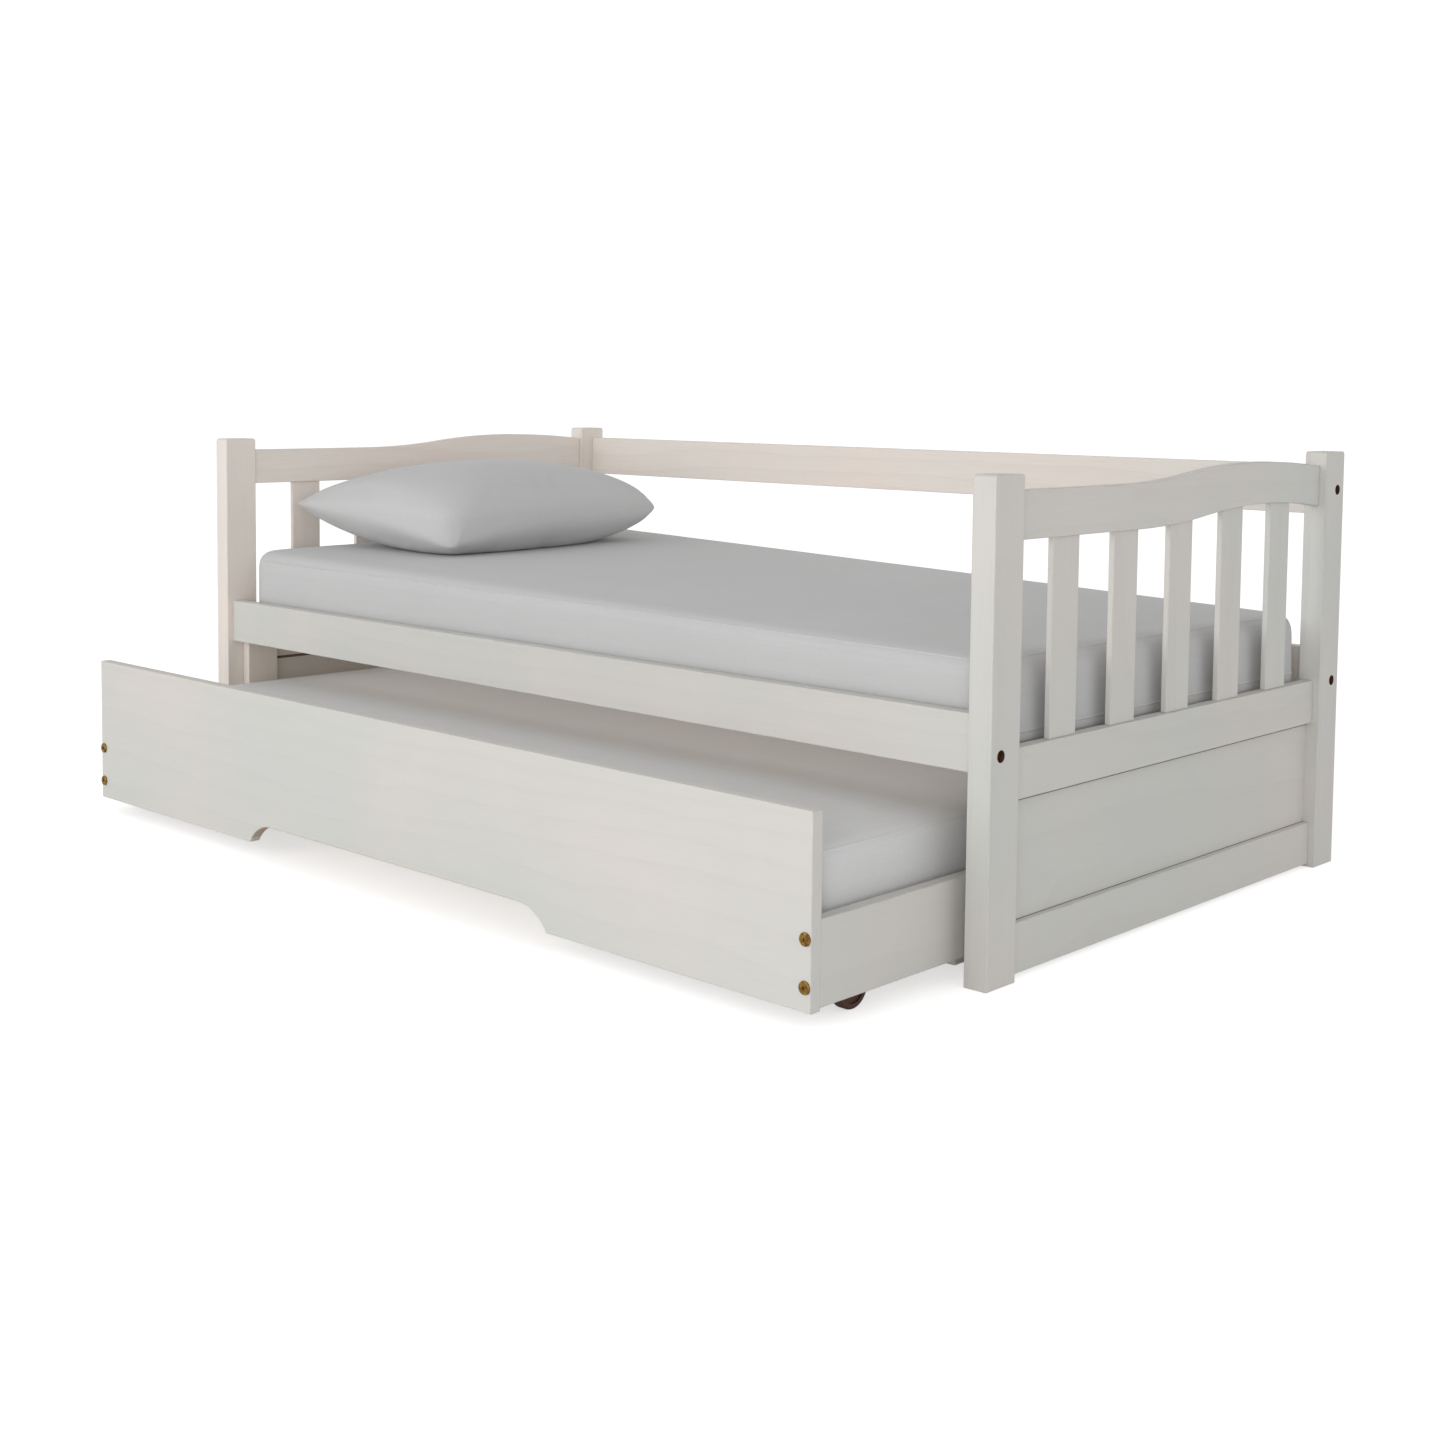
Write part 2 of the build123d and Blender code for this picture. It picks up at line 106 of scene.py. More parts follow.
def shade(red: int, green: int, blue: int) -> Colour:
    """Gives the linear colour of an ordinary screen colour.

    Args:
        red: Red, from 0 to 255.
        green: Green, from 0 to 255.
        blue: Blue, from 0 to 255.

    Returns:
        The colour as linear red, green, blue and an alpha of 1.
    """
    linear = [((part / 255 + 0.055) / 1.055) ** 2.4 for part in (red, green, blue)]
    return (linear[0], linear[1], linear[2], 1.0)


# ---------------------------------------------------------------- node wiring


class Wiring:
    """Adds nodes to a tree and joins them, so that a recipe reads as a list of steps."""

    def __init__(self, tree: bpy.types.NodeTree) -> None:
        """Starts on a tree.

        Args:
            tree: The tree that gets the nodes.
        """
        self.tree = tree

    def feed(self, socket: bpy.types.NodeSocket, value: Any) -> None:
        """Joins an output to an input, or sets the input to a plain value.

        Args:
            socket: The input.
            value: An output socket, a number, a colour or a vector.
        """
        if isinstance(value, bpy.types.NodeSocket):
            self.tree.links.new(value, socket)
        else:
            socket.default_value = value

    def node(self, kind: str, inputs: dict[Any, Any] | None = None, **settings: Any) -> bpy.types.Node:
        """Adds one node.

        Args:
            kind: The node's type name.
            inputs: Values or outputs for its inputs, by name or index.
            **settings: The node's own properties.

        Returns:
            The node.
        """
        made = self.tree.nodes.new(kind)
        for name, value in settings.items():
            setattr(made, name, value)
        for socket, value in (inputs or {}).items():
            self.feed(made.inputs[socket], value)
        return made

    def math(
        self, operation: str, first: Any, second: Any = 0.0, clamp: bool = False
    ) -> bpy.types.NodeSocket:
        """Adds a Math node.

        Args:
            operation: The sum to do.
            first: Its first value.
            second: Its second value.
            clamp: Whether the result is kept from 0 to 1.

        Returns:
            The result.
        """
        made = self.node("ShaderNodeMath", {0: first, 1: second}, operation=operation, use_clamp=clamp)
        return made.outputs[0]

    def vector(self, operation: str, first: Any, second: Any = (0.0, 0.0, 0.0)) -> bpy.types.NodeSocket:
        """Adds a Vector Math node.

        Args:
            operation: The sum to do.
            first: Its first vector.
            second: Its second vector.

        Returns:
            The result, a value for a length or a dot product and otherwise a vector.
        """
        made = self.node("ShaderNodeVectorMath", {0: first, 1: second}, operation=operation)
        return made.outputs["Value" if operation in ("LENGTH", "DOT_PRODUCT") else "Vector"]

    def mix(self, factor: Any, first: Any, second: Any, blend: str = "MIX") -> bpy.types.NodeSocket:
        """Mixes two colours.

        Args:
            factor: How much of the second, from 0 to 1.
            first: The first colour.
            second: The second colour.
            blend: The way they are mixed.

        Returns:
            The mixed colour.
        """
        made = self.node("ShaderNodeMix", data_type="RGBA", blend_type=blend)
        for index, value in ((0, factor), (6, first), (7, second)):
            self.feed(made.inputs[index], value)
        return made.outputs[2]

    def noise(self, vector: Any, scale: Any, detail: float = 2.0, warp: float = 0.0) -> bpy.types.Node:
        """Adds a Noise Texture.

        Args:
            vector: The coordinates it reads.
            scale: Its scale.
            detail: How many finer layers it has.
            warp: How far it distorts itself.

        Returns:
            The node, with outputs Fac and Color.
        """
        inputs = {"Vector": vector, "Scale": scale, "Detail": detail, "Distortion": warp}
        return self.node("ShaderNodeTexNoise", inputs)

    def remap(
        self, value: Any, low: float, high: float, start: Any = 0.0, end: Any = 1.0
    ) -> bpy.types.NodeSocket:
        """Stretches a range of values to another, with nothing past its ends.

        Args:
            value: The value.
            low: The value that becomes start.
            high: The value that becomes end.
            start: The lowest result.
            end: The highest result.

        Returns:
            The stretched value.
        """
        inputs = {0: value, 1: low, 2: high, 3: start, 4: end}
        return self.node("ShaderNodeMapRange", inputs).outputs[0]

    def group(self, tree: bpy.types.NodeTree, inputs: dict[str, Any]) -> bpy.types.Node:
        """Places a node group.

        Args:
            tree: The group.
            inputs: Values or outputs for its inputs, by name.

        Returns:
            The group's node.
        """
        made = self.tree.nodes.new("ShaderNodeGroup")
        made.node_tree = tree
        for name, value in inputs.items():
            self.feed(made.inputs[name], value)
        return made


class Socket(Enum):
    """The kinds of socket that the groups have."""

    NUMBER = "NodeSocketFloat"
    VECTOR = "NodeSocketVector"
    COLOUR = "NodeSocketColor"


def sockets(**kinds: Socket) -> Any:
    """Gives a field that holds a group's sockets, by name."""
    return field(default_factory=lambda: dict(kinds))


@dataclass
class EffectGroup:
    """A shader effect that several materials use, built once.

    Attributes:
        name: The group's name.
        inputs: The kind of each input, by name.
        outputs: The kind of each output, by name.
    """

    name: str = ""
    inputs: dict[str, Socket] = sockets()
    outputs: dict[str, Socket] = sockets()

    def tree(self) -> bpy.types.NodeTree:
        """Gives the group's tree, and builds it the first time."""
        known = bpy.data.node_groups.get(self.name)
        if known is not None:
            return known
        made = bpy.data.node_groups.new(self.name, "ShaderNodeTree")
        for direction, sockets in (("INPUT", self.inputs), ("OUTPUT", self.outputs)):
            for name, kind in sockets.items():
                made.interface.new_socket(name, in_out=direction, socket_type=kind.value)
        wires = Wiring(made)
        start = wires.node("NodeGroupInput")
        end = wires.node("NodeGroupOutput")
        for name, result in self.recipe(wires, start.outputs).items():
            wires.feed(end.inputs[name], result)
        return made

    def recipe(self, wires: Wiring, given: Any) -> dict[str, bpy.types.NodeSocket]:
        """Adds the effect's nodes.

        Args:
            wires: The wiring of the group's tree.
            given: The group's inputs.

        Returns:
            What each output gets, by name.
        """
        raise NotImplementedError


@dataclass
class PineFigure(EffectGroup):
    """The growth rings and fibres of sawn pine, which run along the vector's first axis."""

    name: str = "pine figure"
    inputs: dict[str, Socket] = sockets(Vector=Socket.VECTOR, Rings=Socket.NUMBER, Waviness=Socket.NUMBER)
    outputs: dict[str, Socket] = sockets(Figure=Socket.NUMBER, Fibre=Socket.NUMBER)

    def recipe(self, wires: Wiring, given: Any) -> dict[str, bpy.types.NodeSocket]:
        """Makes rings round a line outside the board, waved along it, and fine fibres."""
        stretched = wires.vector("MULTIPLY", given["Vector"], (0.22, 1.0, 1.0))
        wave = wires.vector("SUBTRACT", wires.noise(stretched, 4.5, 3.0).outputs["Color"], (0.5, 0.5, 0.5))
        scaled = {0: wave, "Scale": given["Waviness"]}
        wave = wires.node("ShaderNodeVectorMath", scaled, operation="SCALE")
        bent = wires.vector("ADD", stretched, wave.outputs["Vector"])
        from_pith = wires.vector("MULTIPLY", wires.vector("ADD", bent, (0.0, 0.31, 0.17)), (0.0, 1.0, 1.0))
        turns = wires.math("MULTIPLY", wires.vector("LENGTH", from_pith), given["Rings"])
        ring = wires.math("FRACT", turns)
        late_wood = wires.math("POWER", ring, 3.0)
        fibre = wires.noise(wires.vector("MULTIPLY", given["Vector"], (0.03, 1.0, 1.0)), 420.0, 3.0)
        return {"Figure": late_wood, "Fibre": fibre.outputs["Fac"]}


@dataclass
class BrushedCoat(EffectGroup):
    """A brushed or sprayed coat whose tone drifts a little over a board."""

    name: str = "brushed coat"
    inputs: dict[str, Socket] = sockets(
        Vector=Socket.VECTOR,
        Base=Socket.COLOUR,
        Warm=Socket.COLOUR,
        Cool=Socket.COLOUR,
        Patchiness=Socket.NUMBER,
    )
    outputs: dict[str, Socket] = sockets(Color=Socket.COLOUR, Height=Socket.NUMBER)

    def recipe(self, wires: Wiring, given: Any) -> dict[str, bpy.types.NodeSocket]:
        """Mixes a warm and a cool tone by broad patches, and makes fine strokes along the board."""
        patch = wires.remap(wires.noise(given["Vector"], 2.3, 4.0, 0.4).outputs["Fac"], 0.36, 0.64)
        tone = wires.mix(patch, given["Cool"], given["Warm"])
        colour = wires.mix(given["Patchiness"], given["Base"], tone)
        stroke = wires.noise(wires.vector("MULTIPLY", given["Vector"], (0.05, 1.0, 1.0)), 190.0, 3.0)
        return {"Color": colour, "Height": stroke.outputs["Fac"]}


@dataclass
class RubbedEdges(EffectGroup):
    """Where handling has thinned a coat along a part's edges."""

    name: str = "rubbed edges"
    inputs: dict[str, Socket] = sockets(Vector=Socket.VECTOR, Reach=Socket.NUMBER, Amount=Socket.NUMBER)
    outputs: dict[str, Socket] = sockets(Mask=Socket.NUMBER)

    def recipe(self, wires: Wiring, given: Any) -> dict[str, bpy.types.NodeSocket]:
        """Compares the surface's direction with that of a rounded one, and breaks the result up."""
        rounded = wires.node("ShaderNodeBevel", {"Radius": given["Reach"]}, samples=4)
        flat = wires.node("ShaderNodeNewGeometry")
        alike = wires.vector("DOT_PRODUCT", rounded.outputs["Normal"], flat.outputs["Normal"])
        turn = wires.remap(wires.math("SUBTRACT", 1.0, alike), 0.015, 0.2)
        broken = wires.remap(wires.noise(given["Vector"], 14.0, 5.0).outputs["Fac"], 0.4, 0.66)
        worn = wires.math("MULTIPLY", wires.math("MULTIPLY", turn, broken), given["Amount"], clamp=True)
        return {"Mask": worn}


@dataclass
class PlainWeave(EffectGroup):
    """The over and under of a plain woven cloth, on faces of any direction."""

    name: str = "plain weave"
    inputs: dict[str, Socket] = sockets(Vector=Socket.VECTOR, Threads=Socket.NUMBER)
    outputs: dict[str, Socket] = sockets(Height=Socket.NUMBER, Slub=Socket.NUMBER)

    def recipe(self, wires: Wiring, given: Any) -> dict[str, bpy.types.NodeSocket]:
        """Crosses sine waves on each pair of axes, and makes thicker threads here and there."""
        scaled = wires.node(
            "ShaderNodeVectorMath",
            {0: given["Vector"], "Scale": wires.math("MULTIPLY", given["Threads"], math.pi)},
            operation="SCALE",
        )
        parts = wires.node("ShaderNodeSeparateXYZ", {0: scaled.outputs["Vector"]})
        waves = [wires.math("SINE", parts.outputs[axis]) for axis in range(3)]
        crossed = [wires.math("MULTIPLY", waves[axis], waves[(axis + 1) % 3]) for axis in range(3)]
        height = wires.math("ADD", wires.math("ADD", crossed[0], crossed[1]), crossed[2])
        lengthwise = wires.noise(wires.vector("MULTIPLY", given["Vector"], (0.04, 1.0, 1.0)), 240.0, 2.0)
        crosswise = wires.noise(wires.vector("MULTIPLY", given["Vector"], (1.0, 0.04, 1.0)), 240.0, 2.0)
        slub = wires.math("MULTIPLY", lengthwise.outputs["Fac"], crosswise.outputs["Fac"])
        return {"Height": wires.math("MULTIPLY", height, 0.4), "Slub": wires.remap(slub, 0.15, 0.36)}


@dataclass
class SoftCreases(EffectGroup):
    """Broad soft creases of a cover over its filling."""

    name: str = "soft creases"
    inputs: dict[str, Socket] = sockets(Vector=Socket.VECTOR, Scale=Socket.NUMBER)
    outputs: dict[str, Socket] = sockets(Height=Socket.NUMBER)

    def recipe(self, wires: Wiring, given: Any) -> dict[str, bpy.types.NodeSocket]:
        """Adds a broad noise to a thin ridge where a second noise crosses its middle."""
        broad = wires.noise(given["Vector"], given["Scale"], 1.5)
        line = wires.noise(given["Vector"], wires.math("MULTIPLY", given["Scale"], 1.7), 1.0, 0.6)
        off_middle = wires.math("ABSOLUTE", wires.math("SUBTRACT", line.outputs["Fac"], 0.5))
        ridge = wires.remap(off_middle, 0.0, 0.05, 1.0, 0.0)
        return {"Height": wires.math("ADD", broad.outputs["Fac"], wires.math("MULTIPLY", ridge, 0.12))}


@dataclass
class Tarnish(EffectGroup):
    """Dull patches on metal."""

    name: str = "tarnish"
    inputs: dict[str, Socket] = sockets(Vector=Socket.VECTOR)
    outputs: dict[str, Socket] = sockets(Mask=Socket.NUMBER)

    def recipe(self, wires: Wiring, given: Any) -> dict[str, bpy.types.NodeSocket]:
        """Makes blotches a few millimetres wide."""
        return {"Mask": wires.remap(wires.noise(given["Vector"], 210.0, 4.0).outputs["Fac"], 0.4, 0.66)}


# ---------------------------------------------------------------- finishes


class Grain(Enum):
    """The axis that a board's grain runs along, and the order of axes that puts it first."""

    ALONG_X = (0, 1, 2)
    ALONG_Y = (1, 0, 2)
    ALONG_Z = (2, 0, 1)


@dataclass(frozen=True)
class Finish:
    """One finish of the bed. Each kind below adds its colours and its nodes.

    Attributes:
        name: The material's name.
    """

    name: str

    def material(self) -> bpy.types.Material:
        """Gives the finish's material, and builds it the first time."""
        known = bpy.data.materials.get(self.name)
        if known is not None:
            return known
        made = bpy.data.materials.new(self.name)
        made.use_nodes = True
        made.node_tree.nodes.clear()
        wires = Wiring(made.node_tree)
        shader = wires.node("ShaderNodeBsdfPrincipled")
        output = wires.node("ShaderNodeOutputMaterial")
        wires.feed(output.inputs["Surface"], shader.outputs["BSDF"])
        place = wires.node("ShaderNodeTexCoord").outputs["Object"]
        self.dress(wires, shader, place)
        return made

    def dress(self, wires: Wiring, shader: bpy.types.Node, place: bpy.types.NodeSocket) -> None:
        """Feeds the shader.

        Args:
            wires: The wiring of the material's tree.
            shader: The Principled shader.
            place: The object's coordinates.
        """
        raise NotImplementedError

    @staticmethod
    def rubbed(
        wires: Wiring, place: bpy.types.NodeSocket, reach: float, amount: float
    ) -> bpy.types.NodeSocket:
        """Gives the mask of the rubbed edges.

        Args:
            wires: The wiring of the material's tree.
            place: The object's coordinates.
            reach: How far from an edge the rubbing reaches, in metres.
            amount: How strong it is.

        Returns:
            The mask.
        """
        inputs = {"Vector": place, "Reach": reach, "Amount": amount}
        return wires.group(RubbedEdges().tree(), inputs).outputs["Mask"]

    @staticmethod
    def bump(wires: Wiring, shader: bpy.types.Node, height: Any, depth: float, strength: float = 1.0) -> None:
        """Gives the shader relief.

        Args:
            wires: The wiring of the material's tree.
            shader: The Principled shader.
            height: The relief, from 0 to 1.
            depth: How deep it is, in metres.
            strength: How strongly it shows.
        """
        relief = wires.node("ShaderNodeBump", {"Height": height, "Distance": depth, "Strength": strength})
        wires.feed(shader.inputs["Normal"], relief.outputs["Normal"])


@dataclass(frozen=True)
class Wood(Finish):
    """A finish whose pattern runs along the grain.

    Attributes:
        rings: How close its growth rings are.
        waviness: How far they wander.
        grain: The axis of the grain.
    """

    rings: ClassVar[float]
    waviness: ClassVar[float]
    grain: Grain = Grain.ALONG_X

    def along(self, wires: Wiring, place: bpy.types.NodeSocket) -> bpy.types.NodeSocket:
        """Puts the grain's axis first.

        Args:
            wires: The wiring of the material's tree.
            place: The object's coordinates.

        Returns:
            The turned coordinates.
        """
        parts = wires.node("ShaderNodeSeparateXYZ", {0: place})
        turned = {slot: parts.outputs[axis] for slot, axis in enumerate(self.grain.value)}
        return wires.node("ShaderNodeCombineXYZ", turned).outputs[0]

    def figure(self, wires: Wiring, along: bpy.types.NodeSocket) -> bpy.types.Node:
        """Places the pine figure.

        Args:
            wires: The wiring of the material's tree.
            along: The coordinates with the grain's axis first.

        Returns:
            The figure's node, with outputs Figure and Fibre.
        """
        inputs = {"Vector": along, "Rings": self.rings, "Waviness": self.waviness}
        return wires.group(PineFigure().tree(), inputs)


class Coat(Enum):
    """Two copies of the white wash, by their base, warm and cool tones. The second copy is lighter and warmer:
    painted light on the parts of the head end and the back.
    """

    COOL = (shade(214, 213, 209), shade(218, 212, 206), shade(208, 210, 205))
    # Lighter, warmer copy of the same wash: painted light for the head end and the back.
    WARM = (shade(238, 231, 223), shade(240, 227, 218), shade(234, 229, 221))


@dataclass(frozen=True)
class PaintedPine(Wood):
    """White wash on pine: the grain stays faintly visible, and edges show a little of the wood.

    Attributes:
        coat: Which copy of the wash: the plain one, or the lighter one with painted light.
        grain_tone: The tone of the late wood and fibres through the wash.
        wood_tone: The tone of the wood at a rubbed edge.
        patchiness: How much the wash drifts between its warm and cool tones.
        rubbing: How much of the coat is gone at an edge.
        reach: How far a rubbed edge reaches.
        late_share: How strongly the late wood shows.
        fibre_share: How strongly the fibres show.
    """

    rings: ClassVar[float] = 34.0
    waviness: ClassVar[float] = 0.09
    coat: Coat = Coat.COOL
    grain_tone: Colour = shade(196, 191, 184)
    wood_tone: Colour = shade(152, 128, 106)
    patchiness: float = 0.8
    rubbing: float = 1.0
    reach: float = 2.8 * MM
    late_share: float = 0.12
    fibre_share: float = 0.16

    def dress(self, wires: Wiring, shader: bpy.types.Node, place: bpy.types.NodeSocket) -> None:
        """Lays a patchy coat over the figure, and thins it at the edges."""
        along = self.along(wires, place)
        base, warm, cool = self.coat.value
        coat = wires.group(
            BrushedCoat().tree(),
            {"Vector": along, "Base": base, "Warm": warm, "Cool": cool, "Patchiness": self.patchiness},
        )
        pine = self.figure(wires, along)
        edges = self.rubbed(wires, place, self.reach, self.rubbing)
        late = wires.math("MULTIPLY", pine.outputs["Figure"], self.late_share)
        figured = wires.mix(late, coat.outputs["Color"], self.grain_tone)
        fibres = wires.remap(pine.outputs["Fibre"], 0.5, 0.78, 0.0, self.fibre_share)
        streaked = wires.mix(fibres, figured, self.grain_tone)
        wires.feed(shader.inputs["Base Color"], wires.mix(edges, streaked, self.wood_tone))
        rough = wires.remap(coat.outputs["Height"], 0.3, 0.7, 0.44, 0.58)
        rougher = wires.math("MULTIPLY", edges, 0.2)
        wires.feed(shader.inputs["Roughness"], wires.math("ADD", rough, rougher))
        shader.inputs["Specular IOR Level"].default_value = 0.4
        sunk = wires.math("MULTIPLY", pine.outputs["Figure"], -0.3)
        relief = wires.math("ADD", coat.outputs["Height"], sunk)
        self.bump(wires, shader, relief, 0.12 * MM, 0.55)


@dataclass(frozen=True)
class BarePine(Wood):
    """Sawn and planed pine with no coat.

    Attributes:
        early: The tone of the early wood.
        late: The tone of the late wood.
    """

    rings: ClassVar[float] = 85.0
    waviness: ClassVar[float] = 0.06
    early: Colour = shade(226, 200, 160)
    late: Colour = shade(196, 156, 108)

    def dress(self, wires: Wiring, shader: bpy.types.Node, place: bpy.types.NodeSocket) -> None:
        """Shows the figure in two wood tones."""
        pine = self.figure(wires, self.along(wires, place))
        ringed = wires.mix(wires.math("MULTIPLY", pine.outputs["Figure"], 0.8), self.early, self.late)
        fibred = wires.mix(wires.remap(pine.outputs["Fibre"], 0.45, 0.8, 0.0, 0.35), ringed, self.late)
        wires.feed(shader.inputs["Base Color"], fibred)
        wires.feed(shader.inputs["Roughness"], wires.remap(pine.outputs["Fibre"], 0.3, 0.7, 0.62, 0.78))
        self.bump(wires, shader, pine.outputs["Fibre"], 0.2 * MM, 0.5)


@dataclass(frozen=True)
class RawBore(Wood):
    """Uncoated wood. By default a dark tone, much darker than bare pine, for inside a drilled recess: uncoated
    wood with the recess's painted shade. Otherwise another tone where the coat is thin.

    Attributes:
        tone: The wood's tone; the dark default also paints the shade in a recess.
        fleck: The tone of its flecks.
    """

    rings: ClassVar[float] = 140.0
    waviness: ClassVar[float] = 0.04
    # Default tones: uncoated wood darkened with painted shade, for inside a drilled recess.
    tone: Colour = shade(92, 58, 36)
    fleck: Colour = shade(58, 36, 22)

    def dress(self, wires: Wiring, shader: bpy.types.Node, place: bpy.types.NodeSocket) -> None:
        """Flecks the tone along the grain."""
        pine = self.figure(wires, self.along(wires, place))
        flecked = wires.mix(wires.remap(pine.outputs["Fibre"], 0.4, 0.7), self.tone, self.fleck)
        wires.feed(shader.inputs["Base Color"], flecked)
        wires.feed(shader.inputs["Roughness"], wires.remap(pine.outputs["Fibre"], 0.3, 0.7, 0.75, 0.9))
        self.bump(wires, shader, pine.outputs["Fibre"], 0.3 * MM, 0.6)


@dataclass(frozen=True)
class Metal(Finish):
    """A plated fitting with dull patches and rubbed edges.

    Attributes:
        bright: The tone of the clean metal.
        dull: The tone of the dull patches.
        worn: The tone of the edges.
        polish: The roughness of the clean metal.
    """

    bright: Colour = shade(200, 200, 198)
    dull: Colour = shade(150, 150, 148)
    worn: Colour = shade(220, 220, 218)
    polish: float = 0.3

    def dress(self, wires: Wiring, shader: bpy.types.Node, place: bpy.types.NodeSocket) -> None:
        """Mixes bright and dull metal, with bright edges."""
        patches = wires.group(Tarnish().tree(), {"Vector": place})
        edges = self.rubbed(wires, place, 0.8 * MM, 0.8)
        aged = wires.mix(patches.outputs["Mask"], self.bright, self.dull)
        wires.feed(shader.inputs["Base Color"], wires.mix(edges, aged, self.worn))
        rough = wires.remap(patches.outputs["Mask"], 0.0, 1.0, self.polish, self.polish + 0.25)
        wires.feed(shader.inputs["Roughness"], rough)
        shader.inputs["Metallic"].default_value = 1.0
        self.bump(wires, shader, patches.outputs["Mask"], 0.05 * MM, 0.4)


@dataclass(frozen=True)
class WheelPlastic(Finish):
    """Moulded dark brown plastic, scuffed where it rolls.

    Attributes:
        body: The plastic's tone.
        scuff: The tone of scuffs and dust.
    """

    body: Colour = shade(74, 44, 32)
    scuff: Colour = shade(120, 92, 76)

    def dress(self, wires: Wiring, shader: bpy.types.Node, place: bpy.types.NodeSocket) -> None:
        """Adds scuffs at the edges and a fine moulded texture."""
        edges = self.rubbed(wires, place, 1.6 * MM, 0.7)
        grit = wires.noise(place, 900.0, 3.0).outputs["Fac"]
        dusty = wires.mix(wires.remap(grit, 0.5, 0.8, 0.0, 0.3), self.body, self.scuff)
        wires.feed(shader.inputs["Base Color"], wires.mix(edges, dusty, self.scuff))
        wires.feed(shader.inputs["Roughness"], wires.remap(grit, 0.3, 0.7, 0.34, 0.5))
        self.bump(wires, shader, grit, 0.08 * MM, 0.4)


@dataclass(frozen=True)
class CottonCover(Finish):
    """Plain woven cotton over a filling.

    Attributes:
        cloth: The cloth's tone.
        deep: The tone of thick threads, and of the painted shade in the creases.
        threads: The number of threads in a metre.
        crease_scale: How close the creases are.
        crease_depth: How deep they are.
    """

    cloth: Colour = shade(205, 205, 205)
    deep: Colour = shade(190, 190, 191)
    threads: float = 620.0
    crease_scale: float = 3.2
    crease_depth: float = 2.5 * MM

    def dress(self, wires: Wiring, shader: bpy.types.Node, place: bpy.types.NodeSocket) -> None:
        """Weaves the cloth, drapes soft creases under the weave, and darkens the crease hollows with painted
        shade.
        """
        weave = wires.group(PlainWeave().tree(), {"Vector": place, "Threads": self.threads})
        creases = wires.group(SoftCreases().tree(), {"Vector": place, "Scale": self.crease_scale})
        toned = wires.mix(wires.math("MULTIPLY", weave.outputs["Slub"], 0.2), self.cloth, self.deep)
        # Painted shade: crease hollows are darkened towards the deep tone.
        hollow = wires.remap(creases.outputs["Height"], 0.35, 0.7, 0.15, 0.0)
        wires.feed(shader.inputs["Base Color"], wires.mix(hollow, toned, self.deep))
        wires.feed(shader.inputs["Roughness"], wires.remap(weave.outputs["Height"], -0.5, 0.5, 0.8, 0.95))
        shader.inputs["Sheen Weight"].default_value = 0.12
        shader.inputs["Sheen Roughness"].default_value = 0.45
        shader.inputs["Specular IOR Level"].default_value = 0.2
        folds = wires.node(
            "ShaderNodeBump",
            {"Height": creases.outputs["Height"], "Distance": self.crease_depth, "Strength": 0.35},
        )
        threads = wires.node(
            "ShaderNodeBump",
            {
                "Height": weave.outputs["Height"],
                "Distance": 0.1 * MM,
                "Strength": 0.25,
                "Normal": folds.outputs["Normal"],
            },
        )
        wires.feed(shader.inputs["Normal"], threads.outputs["Normal"])


@dataclass(frozen=True)
class StageFinish(Finish):
    """The floor's finish: a pale matt sheet that gives back some of the light.

    Attributes:
        tone: The sheet's tone.
        glow: The light it gives the bed.
        shown_glow: The light it shows in the picture.
    """

    tone: Colour = shade(232, 232, 232)
    glow: float = 0.06
    shown_glow: float = 0.6

    def dress(self, wires: Wiring, shader: bpy.types.Node, place: bpy.types.NodeSocket) -> None:
        """Sets a matt white that looks as bright as the backdrop but lights the bed less."""
        shader.inputs["Base Color"].default_value = self.tone
        shader.inputs["Roughness"].default_value = 1.0
        shader.inputs["Specular IOR Level"].default_value = 0.0
        shader.inputs["Emission Color"].default_value = (1.0, 1.0, 1.0, 1.0)
        seen = wires.node("ShaderNodeLightPath").outputs["Is Camera Ray"]
        glow = wires.remap(seen, 0.0, 1.0, self.glow, self.shown_glow)
        wires.feed(shader.inputs["Emission Strength"], glow)


@dataclass(frozen=True)
class Palette:
    """Every finish of the bed."""

    brass: Metal = Metal("antique brass", shade(176, 140, 74), shade(112, 84, 44), shade(214, 182, 112), 0.28)
    zinc: Metal = Metal("zinc steel")
    wheel: WheelPlastic = WheelPlastic("brown wheel plastic")
    beech: BarePine = BarePine("beech dowel", Grain.ALONG_X, shade(214, 182, 142), shade(186, 146, 104))
    # Inside the posts' recesses: uncoated wood darkened with painted shade.
    bore: RawBore = RawBore("raw drilled bore", Grain.ALONG_Y)
    cut_edge: RawBore = RawBore(
        "thin coat on the cut edge", Grain.ALONG_X, shade(206, 188, 170), shade(186, 164, 142)
    )
    mattress: CottonCover = CottonCover("mattress cotton")
    trundle_mattress: CottonCover = CottonCover(
        "trundle mattress cotton", shade(222, 222, 222), shade(208, 208, 208)
    )
    pillow: CottonCover = CottonCover(
        "pillow cotton", shade(206, 206, 206), shade(194, 194, 195), crease_scale=5.0, crease_depth=3.5 * MM
    )

    def painted(self, grain: Grain, coat: Coat) -> PaintedPine:
        """Gives the white wash for a board whose grain runs along that axis."""
        return PaintedPine(f"{coat.name.lower()} white washed pine {grain.name.lower()}", grain, coat)

    def bare(self, grain: Grain) -> BarePine:
        """Gives the bare pine for a board whose grain runs along that axis."""
        return BarePine(f"bare pine {grain.name.lower()}", grain)


# ---------------------------------------------------------------- mesh helpers


